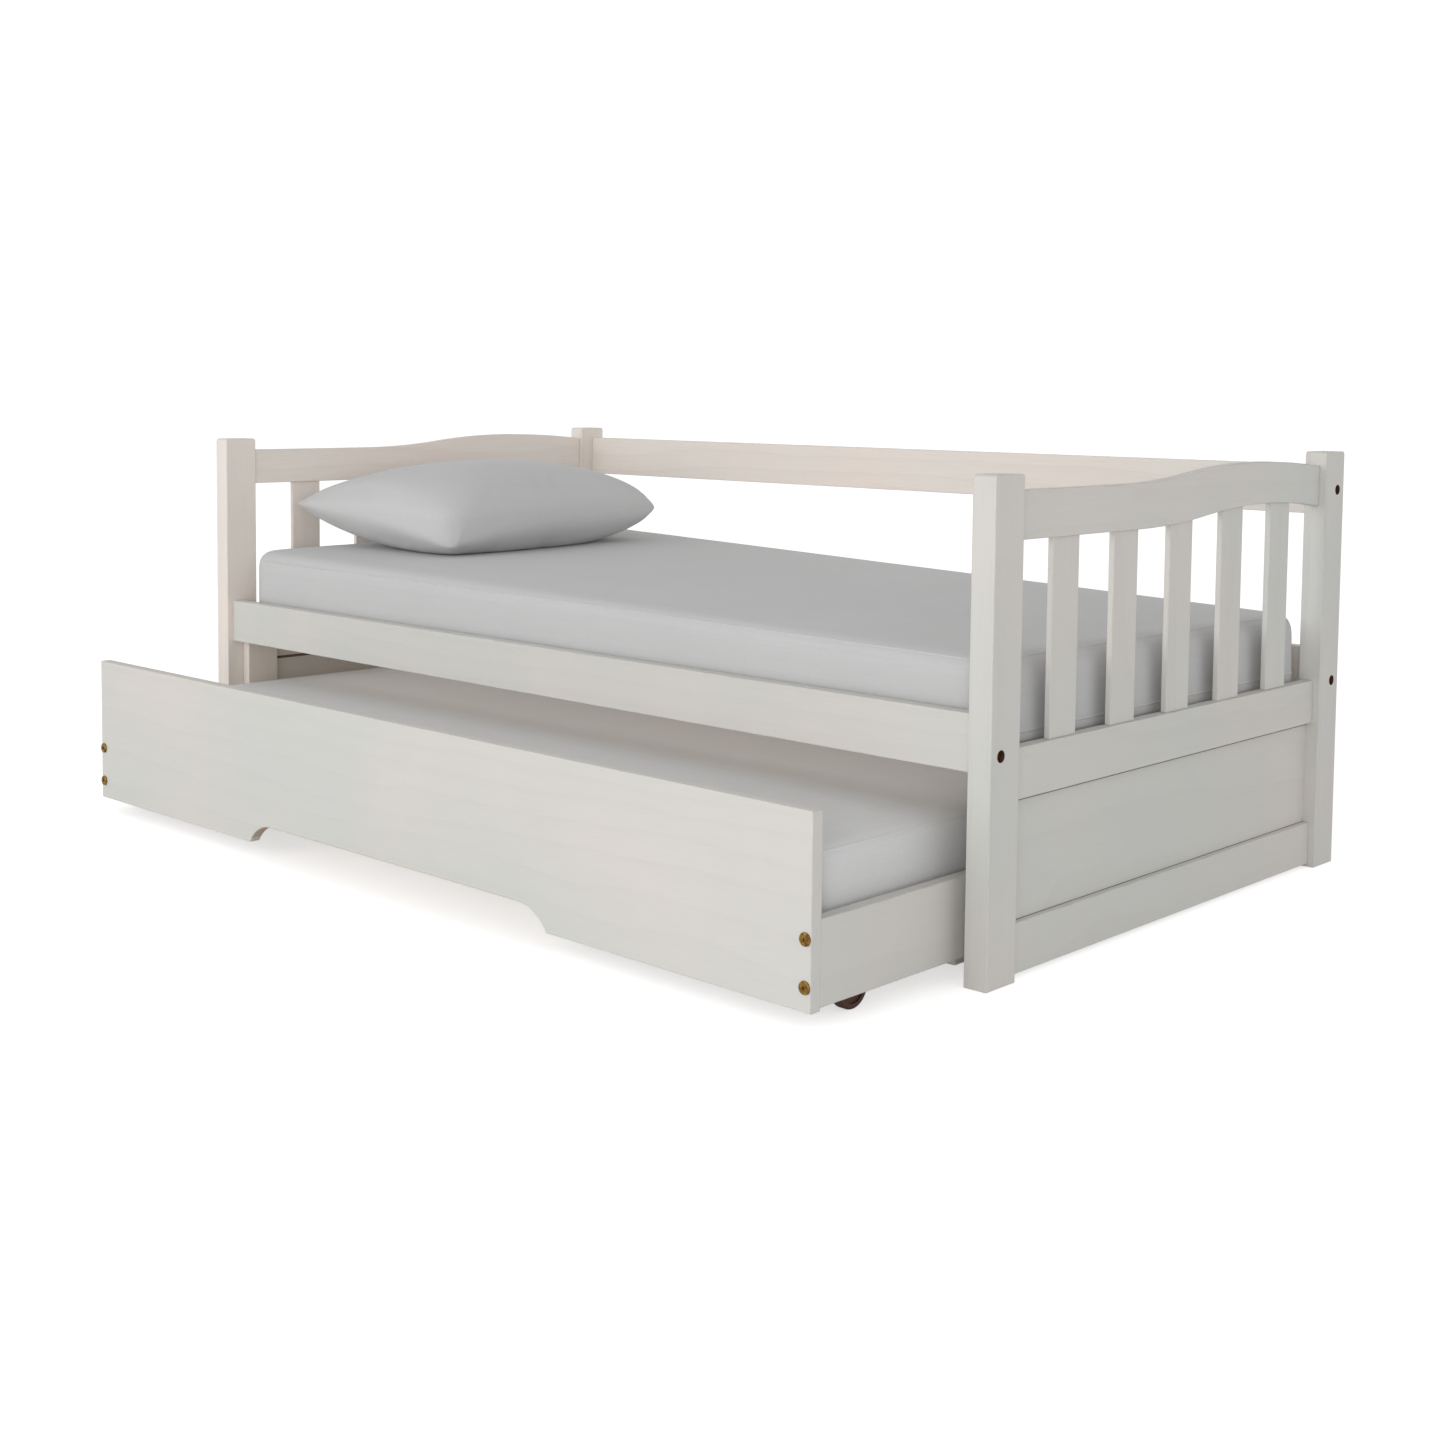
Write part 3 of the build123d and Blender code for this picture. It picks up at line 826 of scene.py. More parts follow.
def new_object(
    name: str,
    points: np.ndarray,
    faces: list[tuple[int, ...]],
    edges: list[tuple[int, int]] | None = None,
) -> bpy.types.Object:
    """Makes a mesh object at the origin.

    Args:
        name: Its name.
        points: Its vertices, one row each.
        faces: Its faces, as indices of vertices.
        edges: Its loose edges, if it has any.

    Returns:
        The object, in the scene.
    """
    mesh = bpy.data.meshes.new(name)
    mesh.from_pydata([tuple(point) for point in points], edges or [], faces)
    mesh.validate()
    mesh.polygons.foreach_set("use_smooth", [True] * len(mesh.polygons))
    made = bpy.data.objects.new(name, mesh)
    bpy.context.scene.collection.objects.link(made)
    return made


def points_of(mesh: bpy.types.Mesh) -> np.ndarray:
    """Reads a mesh's vertices, one row each."""
    flat = np.zeros(len(mesh.vertices) * 3)
    mesh.vertices.foreach_get("co", flat)
    return flat.reshape(-1, 3)


def place_points(mesh: bpy.types.Mesh, points: np.ndarray) -> None:
    """Writes a mesh's vertices.

    Args:
        mesh: The mesh.
        points: Its new vertices, one row each.
    """
    mesh.vertices.foreach_set("co", points.ravel())
    mesh.update()


def settle(piece: bpy.types.Object) -> None:
    """Applies a piece's modifiers, so that its mesh is the finished one.

    Args:
        piece: The piece.
    """
    finished = bpy.data.meshes.new_from_object(piece.evaluated_get(bpy.context.evaluated_depsgraph_get()))
    finished.name = piece.name
    piece.modifiers.clear()
    piece.data = finished


def smoothed(piece: bpy.types.Object) -> None:
    """Adds one subdivision to a piece and applies it.

    Args:
        piece: The piece.
    """
    rounding = piece.modifiers.new("rounding", "SUBSURF")
    rounding.levels = 1
    rounding.render_levels = 1
    settle(piece)


def surface_of(piece: bpy.types.Object) -> BVHTree:
    """Gives a piece's surface for measuring on.

    Args:
        piece: A finished piece.

    Returns:
        A tree of its faces.
    """
    vertices = [vertex.co.copy() for vertex in piece.data.vertices]
    return BVHTree.FromPolygons(vertices, [tuple(face.vertices) for face in piece.data.polygons])


def on_surface(surface: BVHTree, points: list[Vector], lift: float = 0.0) -> list[Vector]:
    """Moves points onto a surface.

    Args:
        surface: The surface.
        points: The points, near it.
        lift: How far above it they end.

    Returns:
        The moved points.
    """
    moved = []
    for point in points:
        nearest, normal, _, _ = surface.find_nearest(point)
        moved.append(nearest + normal * lift)
    return moved


@dataclass(frozen=True)
class Swelling:
    """Stuffing that pushes a cover out.

    Attributes:
        pressure: The push of the filling.
        cap: The furthest that a point moves.
        stiffness: How little the cover stretches.
        frames: How long it swells.
    """

    pressure: float = 4.0
    cap: float = 10 * MM
    stiffness: float = 15.0
    frames: int = 20

    def apply(self, piece: bpy.types.Object) -> None:
        """Swells a piece by a cloth simulation and keeps the result in its mesh.

        Args:
            piece: A closed mesh.
        """
        rest = points_of(piece.data)
        cloth = piece.modifiers.new("stuffing", "CLOTH")
        settings = cloth.settings
        settings.quality = 4
        settings.mass = 0.3
        settings.tension_stiffness = self.stiffness
        settings.compression_stiffness = self.stiffness
        settings.shear_stiffness = self.stiffness / 3
        settings.bending_stiffness = 0.6
        settings.use_pressure = True
        settings.uniform_pressure_force = self.pressure
        settings.effector_weights.gravity = 0.0
        cloth.collision_settings.use_collision = False
        cloth.point_cache.frame_start = 1
        cloth.point_cache.frame_end = self.frames
        scene = bpy.context.scene
        for frame in range(1, self.frames + 1):
            scene.frame_set(frame)
        evaluated = piece.evaluated_get(bpy.context.evaluated_depsgraph_get())
        swollen = points_of(evaluated.data)
        piece.modifiers.remove(cloth)
        scene.frame_set(1)
        travel = swollen - rest
        length = np.linalg.norm(travel, axis=1, keepdims=True)
        share = self.cap * np.tanh(length / self.cap) / np.maximum(length, 1e-9)
        place_points(piece.data, rest + travel * share)
        LOG.info("%s swelled by up to %.1f mm", piece.name, float((length * share).max()) / MM)


# ---------------------------------------------------------------- sewing


class SewingTree(Enum):
    """What Geometry Nodes lay along a seam's path."""

    WELT = "seam welt"
    STITCHES = "stitch row"


@dataclass(frozen=True)
class Seam:
    """A seam's path with what is sewn along it.

    Attributes:
        pitch: From one stitch to the next.
        stitch: A stitch's length.
        thread: A stitch's thickness.
        cord: The welt's radius.
        cord_step: From one ring of the welt to the next.
    """

    pitch: float = 6.5 * MM
    stitch: float = 4.2 * MM
    thread: float = 0.7 * MM
    cord: float = 2.4 * MM
    cord_step: float = 10 * MM

    def tree(self, kind: SewingTree) -> bpy.types.NodeTree:
        """Gives the tree that lays that kind along a path, and builds it the first time.

        Args:
            kind: Welt or stitches.

        Returns:
            The Geometry Nodes tree.
        """
        known = bpy.data.node_groups.get(kind.value)
        if known is not None:
            return known
        made = bpy.data.node_groups.new(kind.value, "GeometryNodeTree")
        made.interface.new_socket("Geometry", in_out="INPUT", socket_type="NodeSocketGeometry")
        for name in ("Pitch", "Length", "Radius"):
            made.interface.new_socket(name, in_out="INPUT", socket_type="NodeSocketFloat")
        made.interface.new_socket("Material", in_out="INPUT", socket_type="NodeSocketMaterial")
        made.interface.new_socket("Geometry", in_out="OUTPUT", socket_type="NodeSocketGeometry")
        wires = Wiring(made)
        given = wires.node("NodeGroupInput").outputs
        path = wires.node("GeometryNodeMeshToCurve", {0: given["Geometry"]}).outputs[0]
        even = {"Curve": path, "Length": given["Pitch"]}
        steps = wires.node("GeometryNodeResampleCurve", even, mode="LENGTH").outputs[0]
        lay = self.welt if kind is SewingTree.WELT else self.stitches
        laid = lay(wires, given, steps)
        real = wires.node("GeometryNodeRealizeInstances", {0: laid}).outputs[0]
        smooth = wires.node("GeometryNodeSetShadeSmooth", {0: real}).outputs[0]
        dressed = wires.node("GeometryNodeSetMaterial", {"Geometry": smooth, "Material": given["Material"]})
        end = wires.node("NodeGroupOutput")
        wires.feed(end.inputs[0], dressed.outputs[0])
        return made

    def welt(self, wires: Wiring, given: Any, path: bpy.types.NodeSocket) -> bpy.types.NodeSocket:
        """Sweeps a round cord along the path.

        Args:
            wires: The wiring of the tree.
            given: The tree's inputs.
            path: The path, with a point at each pitch.

        Returns:
            The cord's mesh.
        """
        ring = wires.node("GeometryNodeCurvePrimitiveCircle", {"Resolution": 8, "Radius": given["Radius"]})
        swept = wires.node(
            "GeometryNodeCurveToMesh",
            {"Curve": path, "Profile Curve": ring.outputs[0], "Fill Caps": True},
        )
        return swept.outputs[0]

    def stitches(self, wires: Wiring, given: Any, path: bpy.types.NodeSocket) -> bpy.types.NodeSocket:
        """Lays one small bead of thread at each pitch, along the path.

        Args:
            wires: The wiring of the tree.
            given: The tree's inputs.
            path: The path, with a point at each pitch.

        Returns:
            The stitches, as instances.
        """
        bead = wires.node("GeometryNodeMeshUVSphere", {"Segments": 6, "Rings": 4, "Radius": 0.5})
        size = wires.node(
            "ShaderNodeCombineXYZ", {0: given["Radius"], 1: given["Radius"], 2: given["Length"]}
        )
        stretched = {"Geometry": bead.outputs[0], "Scale": size.outputs[0]}
        thread = wires.node("GeometryNodeTransform", stretched)
        tangent = wires.node("GeometryNodeInputTangent")
        turn = wires.node("FunctionNodeAlignEulerToVector", {"Vector": tangent.outputs[0]}, axis="Z")
        laid = wires.node(
            "GeometryNodeInstanceOnPoints",
            {"Points": path, "Instance": thread.outputs[0], "Rotation": turn.outputs[0]},
        )
        return laid.outputs[0]

    def sew(
        self, name: str, kind: SewingTree, paths: list[list[Vector]], closed: bool, finish: Finish
    ) -> bpy.types.Object:
        """Makes one piece of welt or stitches along some paths.

        Args:
            name: The piece's name.
            kind: Welt or stitches.
            paths: The points of each path, on the cover.
            closed: Whether each path joins its own start.
            finish: The thread's or cord's finish.

        Returns:
            The piece, as a plain mesh.
        """
        points, edges = [], []
        for path in paths:
            first = len(points)
            points += path
            last = len(points) - 1
            edges += [(index, index + 1) for index in range(first, last)]
            if closed:
                edges.append((last, first))
        piece = new_object(name, np.array([list(p) for p in points]), [], edges)
        tree = self.tree(kind)
        sizes = {
            SewingTree.WELT: {"Pitch": self.cord_step, "Length": self.stitch, "Radius": self.cord},
            SewingTree.STITCHES: {"Pitch": self.pitch, "Length": self.stitch, "Radius": self.thread},
        }[kind]
        modifier = piece.modifiers.new(kind.value, "NODES")
        modifier.node_group = tree
        labels = {item.name: item.identifier for item in tree.interface.items_tree if item.in_out == "INPUT"}
        for label, value in {**sizes, "Material": finish.material()}.items():
            modifier[labels[label]] = value
        settle(piece)
        LOG.info("%s has %d faces", name, len(piece.data.polygons))
        return piece


# ---------------------------------------------------------------- soft goods


@dataclass
class SoftPiece:
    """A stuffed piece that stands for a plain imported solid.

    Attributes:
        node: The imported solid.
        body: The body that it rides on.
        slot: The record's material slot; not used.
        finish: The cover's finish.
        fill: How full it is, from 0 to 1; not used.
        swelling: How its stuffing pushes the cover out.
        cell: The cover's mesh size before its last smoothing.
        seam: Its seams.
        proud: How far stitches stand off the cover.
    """

    node: str
    body: str
    slot: str
    finish: CottonCover
    fill: float = 0.85
    swelling: Swelling = field(default_factory=Swelling)
    cell: float = 14 * MM
    seam: Seam = field(default_factory=Seam)
    proud: float = 0.1 * MM

    def attach(self, piece: bpy.types.Object, main: bool = False) -> None:
        """Makes a piece ride, and for the stuffed piece itself hides the imported solid that it stands for.

        Args:
            piece: The piece.
            main: Whether it is the stuffed piece.
        """
        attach(piece, self.body)
        if main:
            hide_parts(self.node)


@dataclass
class Mattress(SoftPiece):
    """A foam mattress in a fitted cotton cover.

    Attributes:
        corner: The radius of its upright corners, seen from above.
        edge: The radius of its top edge.
        foot_edge: The radius of its bottom edge.
        shrink: How much smaller the form is before it swells.
        crown: How far the top rises in the middle.
        head_rise: How much higher the head end is than the middle, and the foot end lower.
        twist: How much more of that the back has than the front.
        level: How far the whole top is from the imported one.
        support: How far from the middle what is under it ends.
        droop: How far the cover hangs past that.
        droop_run: Where the droop starts past the support, and the length over which it grows.
        spread: How far its two ends press out, lowest down, against the end rails.
        spread_run: Where the spread starts before the ends, and the length over which it grows.
        hollow: The place, size and depth of a hollow under a pillow, if there is one.
        clearance: The least gap to what is under it.
        welt_inset: How far in from the edge the welt lies, as a share of the edge's radius.
        welt_sink: How deep the welt sits in the cover, as a share of its radius.
        stitch_gap: From the edge's curve to the row of stitches.
    """

    corner: float = 46 * MM
    edge: float = 28 * MM
    foot_edge: float = 10 * MM
    shrink: float = 4 * MM
    crown: float = 5 * MM
    head_rise: float = 0.0
    twist: float = 0.0
    level: float = 0.0
    support: float = 1.0
    droop: float = 0.0
    droop_run: tuple[float, float] = (2 * MM, 18 * MM)
    spread: float = 0.0
    spread_run: tuple[float, float] = (22 * MM, 20 * MM)
    hollow: tuple[float, float, float, float, float] | None = None
    clearance: float = 1 * MM
    welt_inset: float = 0.3
    welt_sink: float = 0.45
    stitch_gap: float = 6 * MM

    def lattice(self) -> tuple[np.ndarray, list[tuple[int, ...]], np.ndarray]:
        """Divides the faces of a box into even cells.

        Returns:
            The points from -1 to 1 on each axis, the faces, and the half size of the box.
        """
        low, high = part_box(self.node)
        half = np.array(high - low) / 2 - self.shrink
        counts = np.maximum(np.round(2 * half / self.cell).astype(int), 2)
        numbered: dict[tuple[int, int, int], int] = {}
        faces: list[tuple[int, ...]] = []

        def number(place: tuple[int, int, int]) -> int:
            """Gives the index of a lattice point."""
            return numbered.setdefault(place, len(numbered))

        for axis in range(3):
            first, second = (axis + 1) % 3, (axis + 2) % 3
            for side in (0, int(counts[axis])):
                for i in range(counts[first]):
                    for j in range(counts[second]):
                        ring = []
                        for step_i, step_j in ((0, 0), (1, 0), (1, 1), (0, 1)):
                            place = [0, 0, 0]
                            place[axis], place[first], place[second] = side, i + step_i, j + step_j
                            ring.append(number(tuple(place)))
                        faces.append(tuple(ring if side else reversed(ring)))
        points = np.array(list(numbered)) / counts * 2 - 1
        return points, faces, half

    def rounded(self, unit: np.ndarray, half: np.ndarray) -> np.ndarray:
        """Rounds the box's upright corners and then its top and bottom edges.

        Args:
            unit: Points from -1 to 1 on the box.
            half: The box's half size.

        Returns:
            The rounded points, round the box's centre.
        """
        points = unit * half
        inner = np.clip(points[:, :2], -(half[:2] - self.corner), half[:2] - self.corner)
        out = points[:, :2] - inner
        length = np.maximum(np.linalg.norm(out, axis=1), 1e-9)
        out *= (np.abs(out).max(axis=1) / length)[:, None]
        length = np.linalg.norm(out, axis=1)
        direction = out / np.maximum(length, 1e-9)[:, None]
        edge = np.where(points[:, 2] > 0, self.edge, self.foot_edge)
        across = np.maximum(0.0, length - (self.corner - edge))
        upward = np.maximum(0.0, np.abs(points[:, 2]) - (half[2] - edge))
        scale = np.maximum(across, upward) / np.maximum(np.hypot(across, upward), 1e-9)
        points[:, :2] = inner + out + direction * (across * (scale - 1.0))[:, None]
        points[:, 2] -= np.sign(points[:, 2]) * upward * (1.0 - scale)
        return points

    def sag(self, points: np.ndarray) -> np.ndarray:
        """Gives how far the filling lifts or lowers the top over each point.

        Args:
            points: Points in the bed's frame.

        Returns:
            The lift at each point, before it is shared out over the height.
        """
        low, high = (np.array(corner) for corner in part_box(self.node))
        centre, half = (low + high) / 2, (high - low) / 2
        along = np.clip((points[:, 0] - centre[0]) / half[0], -1, 1)
        across = np.clip((points[:, 1] - centre[1]) / half[1], -1, 1)
        lift = self.level - along * (self.head_rise + self.twist * across)
        lift += self.crown * (1 - along**4) * (1 - across**4)
        if self.hollow is not None:
            x, y, wide, deep, depth = self.hollow
            apart = ((points[:, 0] - x) / wide) ** 2 + ((points[:, 1] - y) / deep) ** 2
            lift -= depth * np.exp(-(apart**1.5))
        return lift

    def outline(self, inset: float, height: float, spacing: float = 12 * MM) -> list[Vector]:
        """Gives points round the mattress.

        Args:
            inset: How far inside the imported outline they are.
            height: Their height above the floor.
            spacing: How far apart they are.

        Returns:
            The points, anticlockwise from above.
        """
        low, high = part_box(self.node)
        radius = self.corner - inset
        middles = [
            (high.x - self.corner, high.y - self.corner, 0),
            (low.x + self.corner, high.y - self.corner, 90),
            (low.x + self.corner, low.y + self.corner, 180),
            (high.x - self.corner, low.y + self.corner, 270),
        ]
        steps = max(4, round(radius * math.pi / 2 / spacing))
        corners = []
        for x, y, start in middles:
            for step in range(steps + 1):
                angle = math.radians(start + 90 * step / steps)
                spot = (x + radius * math.cos(angle), y + radius * math.sin(angle), height)
                corners.append(Vector(spot))
        points = []
        for here, there in zip(corners, corners[1:] + corners[:1]):
            count = max(1, round((there - here).length / spacing))
            points += [here.lerp(there, step / count) for step in range(count)]
        return points

    def darts(self, drop: float = 18 * MM) -> list[list[Vector]]:
        """Gives the upright seam at each corner, from under the top edge to the bottom edge.

        Args:
            drop: How far under the top it starts and above the bottom it ends.

        Returns:
            The points of each seam.
        """
        low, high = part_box(self.node)
        lean = self.corner * (1 - math.sqrt(0.5))
        heights = np.linspace(high.z - drop, low.z + drop, 16)
        corners = [
            (high.x - lean, high.y - lean),
            (low.x + lean, high.y - lean),
            (low.x + lean, low.y + lean),
            (high.x - lean, low.y + lean),
        ]
        return [[Vector((x, y, float(z))) for z in heights] for x, y in corners]

    def lie(self, points: np.ndarray) -> np.ndarray:
        """Lays the swollen form on what is under it, with its slope, droop and pressed ends.

        Args:
            points: The form's points in the bed's frame.

        Returns:
            The points as they lie.
        """
        low, high = (np.array(corner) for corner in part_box(self.node))
        points[:, 2] = np.maximum(points[:, 2], low[2] + self.clearance)
        share = np.clip((points[:, 2] - low[2]) / (high[2] - low[2]), 0, 1)
        start, run = self.droop_run
        past = np.clip((np.abs(points[:, 0]) - self.support - start) / run, 0, 1)
        eased = past * past * (3 - 2 * past)
        points[:, 2] += self.sag(points) * share - self.droop * eased * (1 - share)
        start, run = self.spread_run
        end = np.clip((np.abs(points[:, 0]) - (high[0] - low[0]) / 2 + start) / run, 0, 1)
        points[:, 0] += np.sign(points[:, 0]) * self.spread * end * (1 - share)
        return points

    def sew_cover(self, piece: bpy.types.Object) -> None:
        """Sews the welts, the rows of stitches and the corner seams onto the cover.

        Args:
            piece: The finished cover.
        """
        surface = surface_of(piece)
        low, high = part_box(self.node)
        inset = self.welt_inset * self.edge
        down = self.edge + self.stitch_gap
        rims = [self.outline(inset, high.z - inset), self.outline(inset, low.z + inset)]
        rows = [self.outline(0.0, high.z - down), self.outline(0.0, low.z + down)]
        for part, kind, paths, closed, lift in (
            ("welt", SewingTree.WELT, rims, True, -self.welt_sink * self.seam.cord),
            ("stitches", SewingTree.STITCHES, rows, True, self.proud),
            ("corner_seams", SewingTree.STITCHES, self.darts(), False, self.proud),
        ):
            laid = [on_surface(surface, path, lift) for path in paths]
            self.attach(self.seam.sew(f"{self.node}_{part}", kind, laid, closed, self.finish))

    def build(self) -> bpy.types.Object:
        """Makes the mattress with its welt, corner seams and stitches.

        Returns:
            The stuffed piece.
        """
        low, high = (np.array(corner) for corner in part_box(self.node))
        unit, faces, half = self.lattice()
        piece = new_object(f"{self.node}_cover", self.rounded(unit, half) + (low + high) / 2, faces)
        self.swelling.apply(piece)
        place_points(piece.data, self.lie(points_of(piece.data)))
        smoothed(piece)
        piece.data.materials.append(self.finish.material())
        self.attach(piece, main=True)
        self.sew_cover(piece)
        return piece


@dataclass(frozen=True)
class PillowCorner:
    """How one corner of the pillow lies.

    Attributes:
        lift: How far it is from the middle height.
        move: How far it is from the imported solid's corner, along X and Y.
        blunt: How much fuller it is than the others.
        rounding: How far its very tip is drawn in, along X and Y.
    """

    lift: float = 0.0
    move: tuple[float, float] = (0.0, 0.0)
    blunt: float = 0.0
    rounding: float = 0.0


@dataclass
class Pillow(SoftPiece):
    """A pillow of two panels sewn round their edge, lying on a mattress.

    Attributes:
        pull: How much its sides draw in between the corners, as a share.
        fullness: How blunt its section is. A lower value gives steeper sides.
        corners: Its corners, by their side along X and along Y.
        section: How flat its middle is along X and along Y. A higher value is flatter.
        ridge: The height of the soft ridge that runs to the near corner.
        ridge_width: The ridge's width, as a share of the pillow's half width.
        rest: The gap to what it lies on.
    """

    pull: float = 0.05
    fullness: float = 0.5
    corners: dict[tuple[int, int], PillowCorner] = field(
        default_factory=lambda: {
            (-1, -1): PillowCorner(10 * MM, (-8 * MM, -8 * MM)),
            (1, -1): PillowCorner(-36 * MM, (18 * MM, 34 * MM), 0.3, 34 * MM),
            (-1, 1): PillowCorner(4 * MM),
            (1, 1): PillowCorner(-4 * MM, (-26 * MM, -20 * MM), 0.14, 8 * MM),
        }
    )
    section: tuple[float, float] = (2.2, 2.4)
    ridge: float = 4 * MM
    ridge_width: float = 0.34
    rest: float = 1.2 * MM

    def panel(self, u: np.ndarray, v: np.ndarray, side: float) -> np.ndarray:
        """Gives points of one panel.

        Args:
            u: Places along X, from -1 to 1.
            v: Places along Y, from -1 to 1.
            side: 1 for the top panel and -1 for the bottom.

        Returns:
            The points, one row each.
        """
        low, high = (np.array(corner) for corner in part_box(self.node))
        centre, half = (low + high) / 2, (high - low) / 2
        x = half[0] * u * (1 - self.pull * (1 - v**2))
        y = half[1] * v * (1 - self.pull * (1 - u**2))
        fullness = np.full_like(u, self.fullness)
        middle = np.zeros_like(u)
        for (side_x, side_y), corner in self.corners.items():
            near = ((1 + side_x * u) / 2 * (1 + side_y * v) / 2) ** 3
            tip = corner.rounding * near**3
            x = x + corner.move[0] * near - side_x * tip
            y = y + corner.move[1] * near - side_y * tip
            middle = middle + corner.lift * near
            fullness = fullness - corner.blunt * near
        rise = (1 - np.abs(u) ** self.section[0]) * (1 - np.abs(v) ** self.section[1])
        plump = np.maximum(0.0, rise) ** fullness
        off_diagonal = (u + v) / self.ridge_width
        toward = np.clip((u - v) / 2, 0, 1)
        fold = self.ridge * np.exp(-(off_diagonal**2)) * np.sin(np.pi * toward) if side > 0 else 0.0
        z = middle + side * half[2] * plump + fold
        return np.stack([x, y, z], axis=1) + centre

    def blank(self) -> tuple[bpy.types.Object, list[int]]:
        """Makes the two panels, which share the points of their edge.

        Returns:
            The closed mesh, and the top panel's points one row in from the edge, in order round it.
        """
        low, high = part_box(self.node)
        across = round((high.x - low.x) / self.cell)
        along = round((high.y - low.y) / self.cell)
        spots: dict[tuple[int, int, int], int] = {}
        places: list[tuple[float, float, float]] = []

        def number(i: int, j: int, side: int) -> int:
            """Gives the index of a point, which is one for both panels at the edge."""
            rim = i in (0, across) or j in (0, along)
            key = (i, j, 0 if rim else side)
            if key not in spots:
                spots[key] = len(places)
                u, v = (math.sin(math.pi / 2 * (2 * n / count - 1)) for n, count in ((i, across), (j, along)))
                places.append((u, v, float(side)))
            return spots[key]

        faces = []
        for side in (1, -1):
            for i in range(across):
                for j in range(along):
                    square = ((i, j), (i + 1, j), (i + 1, j + 1), (i, j + 1))
                    ring = [number(*place, side) for place in square]
                    faces.append(tuple(ring if side > 0 else reversed(ring)))
        flat = np.array(places)
        upper, lower = (self.panel(flat[:, 0], flat[:, 1], side) for side in (1.0, -1.0))
        points = np.where(flat[:, 2:] > 0, upper, lower)
        ring = [(i, 1) for i in range(1, across)] + [(across - 1, j) for j in range(2, along)]
        ring += [(i, along - 1) for i in range(across - 2, 0, -1)] + [(1, j) for j in range(along - 2, 1, -1)]
        return new_object(f"{self.node}_case", points, faces), [number(i, j, 1) for i, j in ring]

    def lay_on(self, piece: bpy.types.Object, below: bpy.types.Object) -> None:
        """Flattens the pillow where it meets what it lies on.

        Args:
            piece: The pillow.
            below: The finished piece under it.
        """
        surface = surface_of(below)
        points = points_of(piece.data)
        for index, point in enumerate(points):
            hit, _, _, _ = surface.ray_cast(Vector((point[0], point[1], 1.5)), Vector((0, 0, -1)))
            if hit is not None and point[2] < hit.z + self.rest:
                points[index, 2] = hit.z + self.rest
        place_points(piece.data, points)

    def build(self, below: bpy.types.Object) -> bpy.types.Object:
        """Makes the pillow with its edge seam.

        Args:
            below: The mattress under it.

        Returns:
            The stuffed piece.
        """
        piece, ring = self.blank()
        self.swelling.apply(piece)
        self.lay_on(piece, below)
        row = [Vector(point) for point in points_of(piece.data)[ring]]
        smoothed(piece)
        piece.data.materials.append(self.finish.material())
        self.attach(piece, main=True)
        paths = [on_surface(surface_of(piece), row, self.proud)]
        self.attach(self.seam.sew(f"{self.node}_stitches", SewingTree.STITCHES, paths, True, self.finish))
        return piece


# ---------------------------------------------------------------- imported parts


@dataclass(frozen=True)
class BoltRecess:
    """The drilled recesses in the posts' outer faces.

    Attributes:
        radius: A recess's radius.
        inset: From the post's outer face, front or back, to the recess's middle.
        heights: The heights at which posts have one.
        slack: How far past the radius a recess's points may be.
    """

    radius: float = 9 * MM
    inset: float = 24 * MM
    heights: tuple[float, ...] = (334 * MM, 676 * MM)
    slack: float = 0.4 * MM

    def faces(self, node: str, mesh: bpy.types.Mesh) -> list[int]:
        """Finds the faces inside a post's recesses.

        Args:
            node: The post.
            mesh: Its mesh.

        Returns:
            The indices of those faces.
        """
        low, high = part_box(node)
        middle = low.y + self.inset if low.y + high.y < 0 else high.y - self.inset
        points = points_of(mesh)
        found: list[int] = []
        for height in self.heights:
            inside = np.hypot(points[:, 1] - middle, points[:, 2] - height) < self.radius + self.slack
            found += [face.index for face in mesh.polygons if all(inside[v] for v in face.vertices)]
        return found


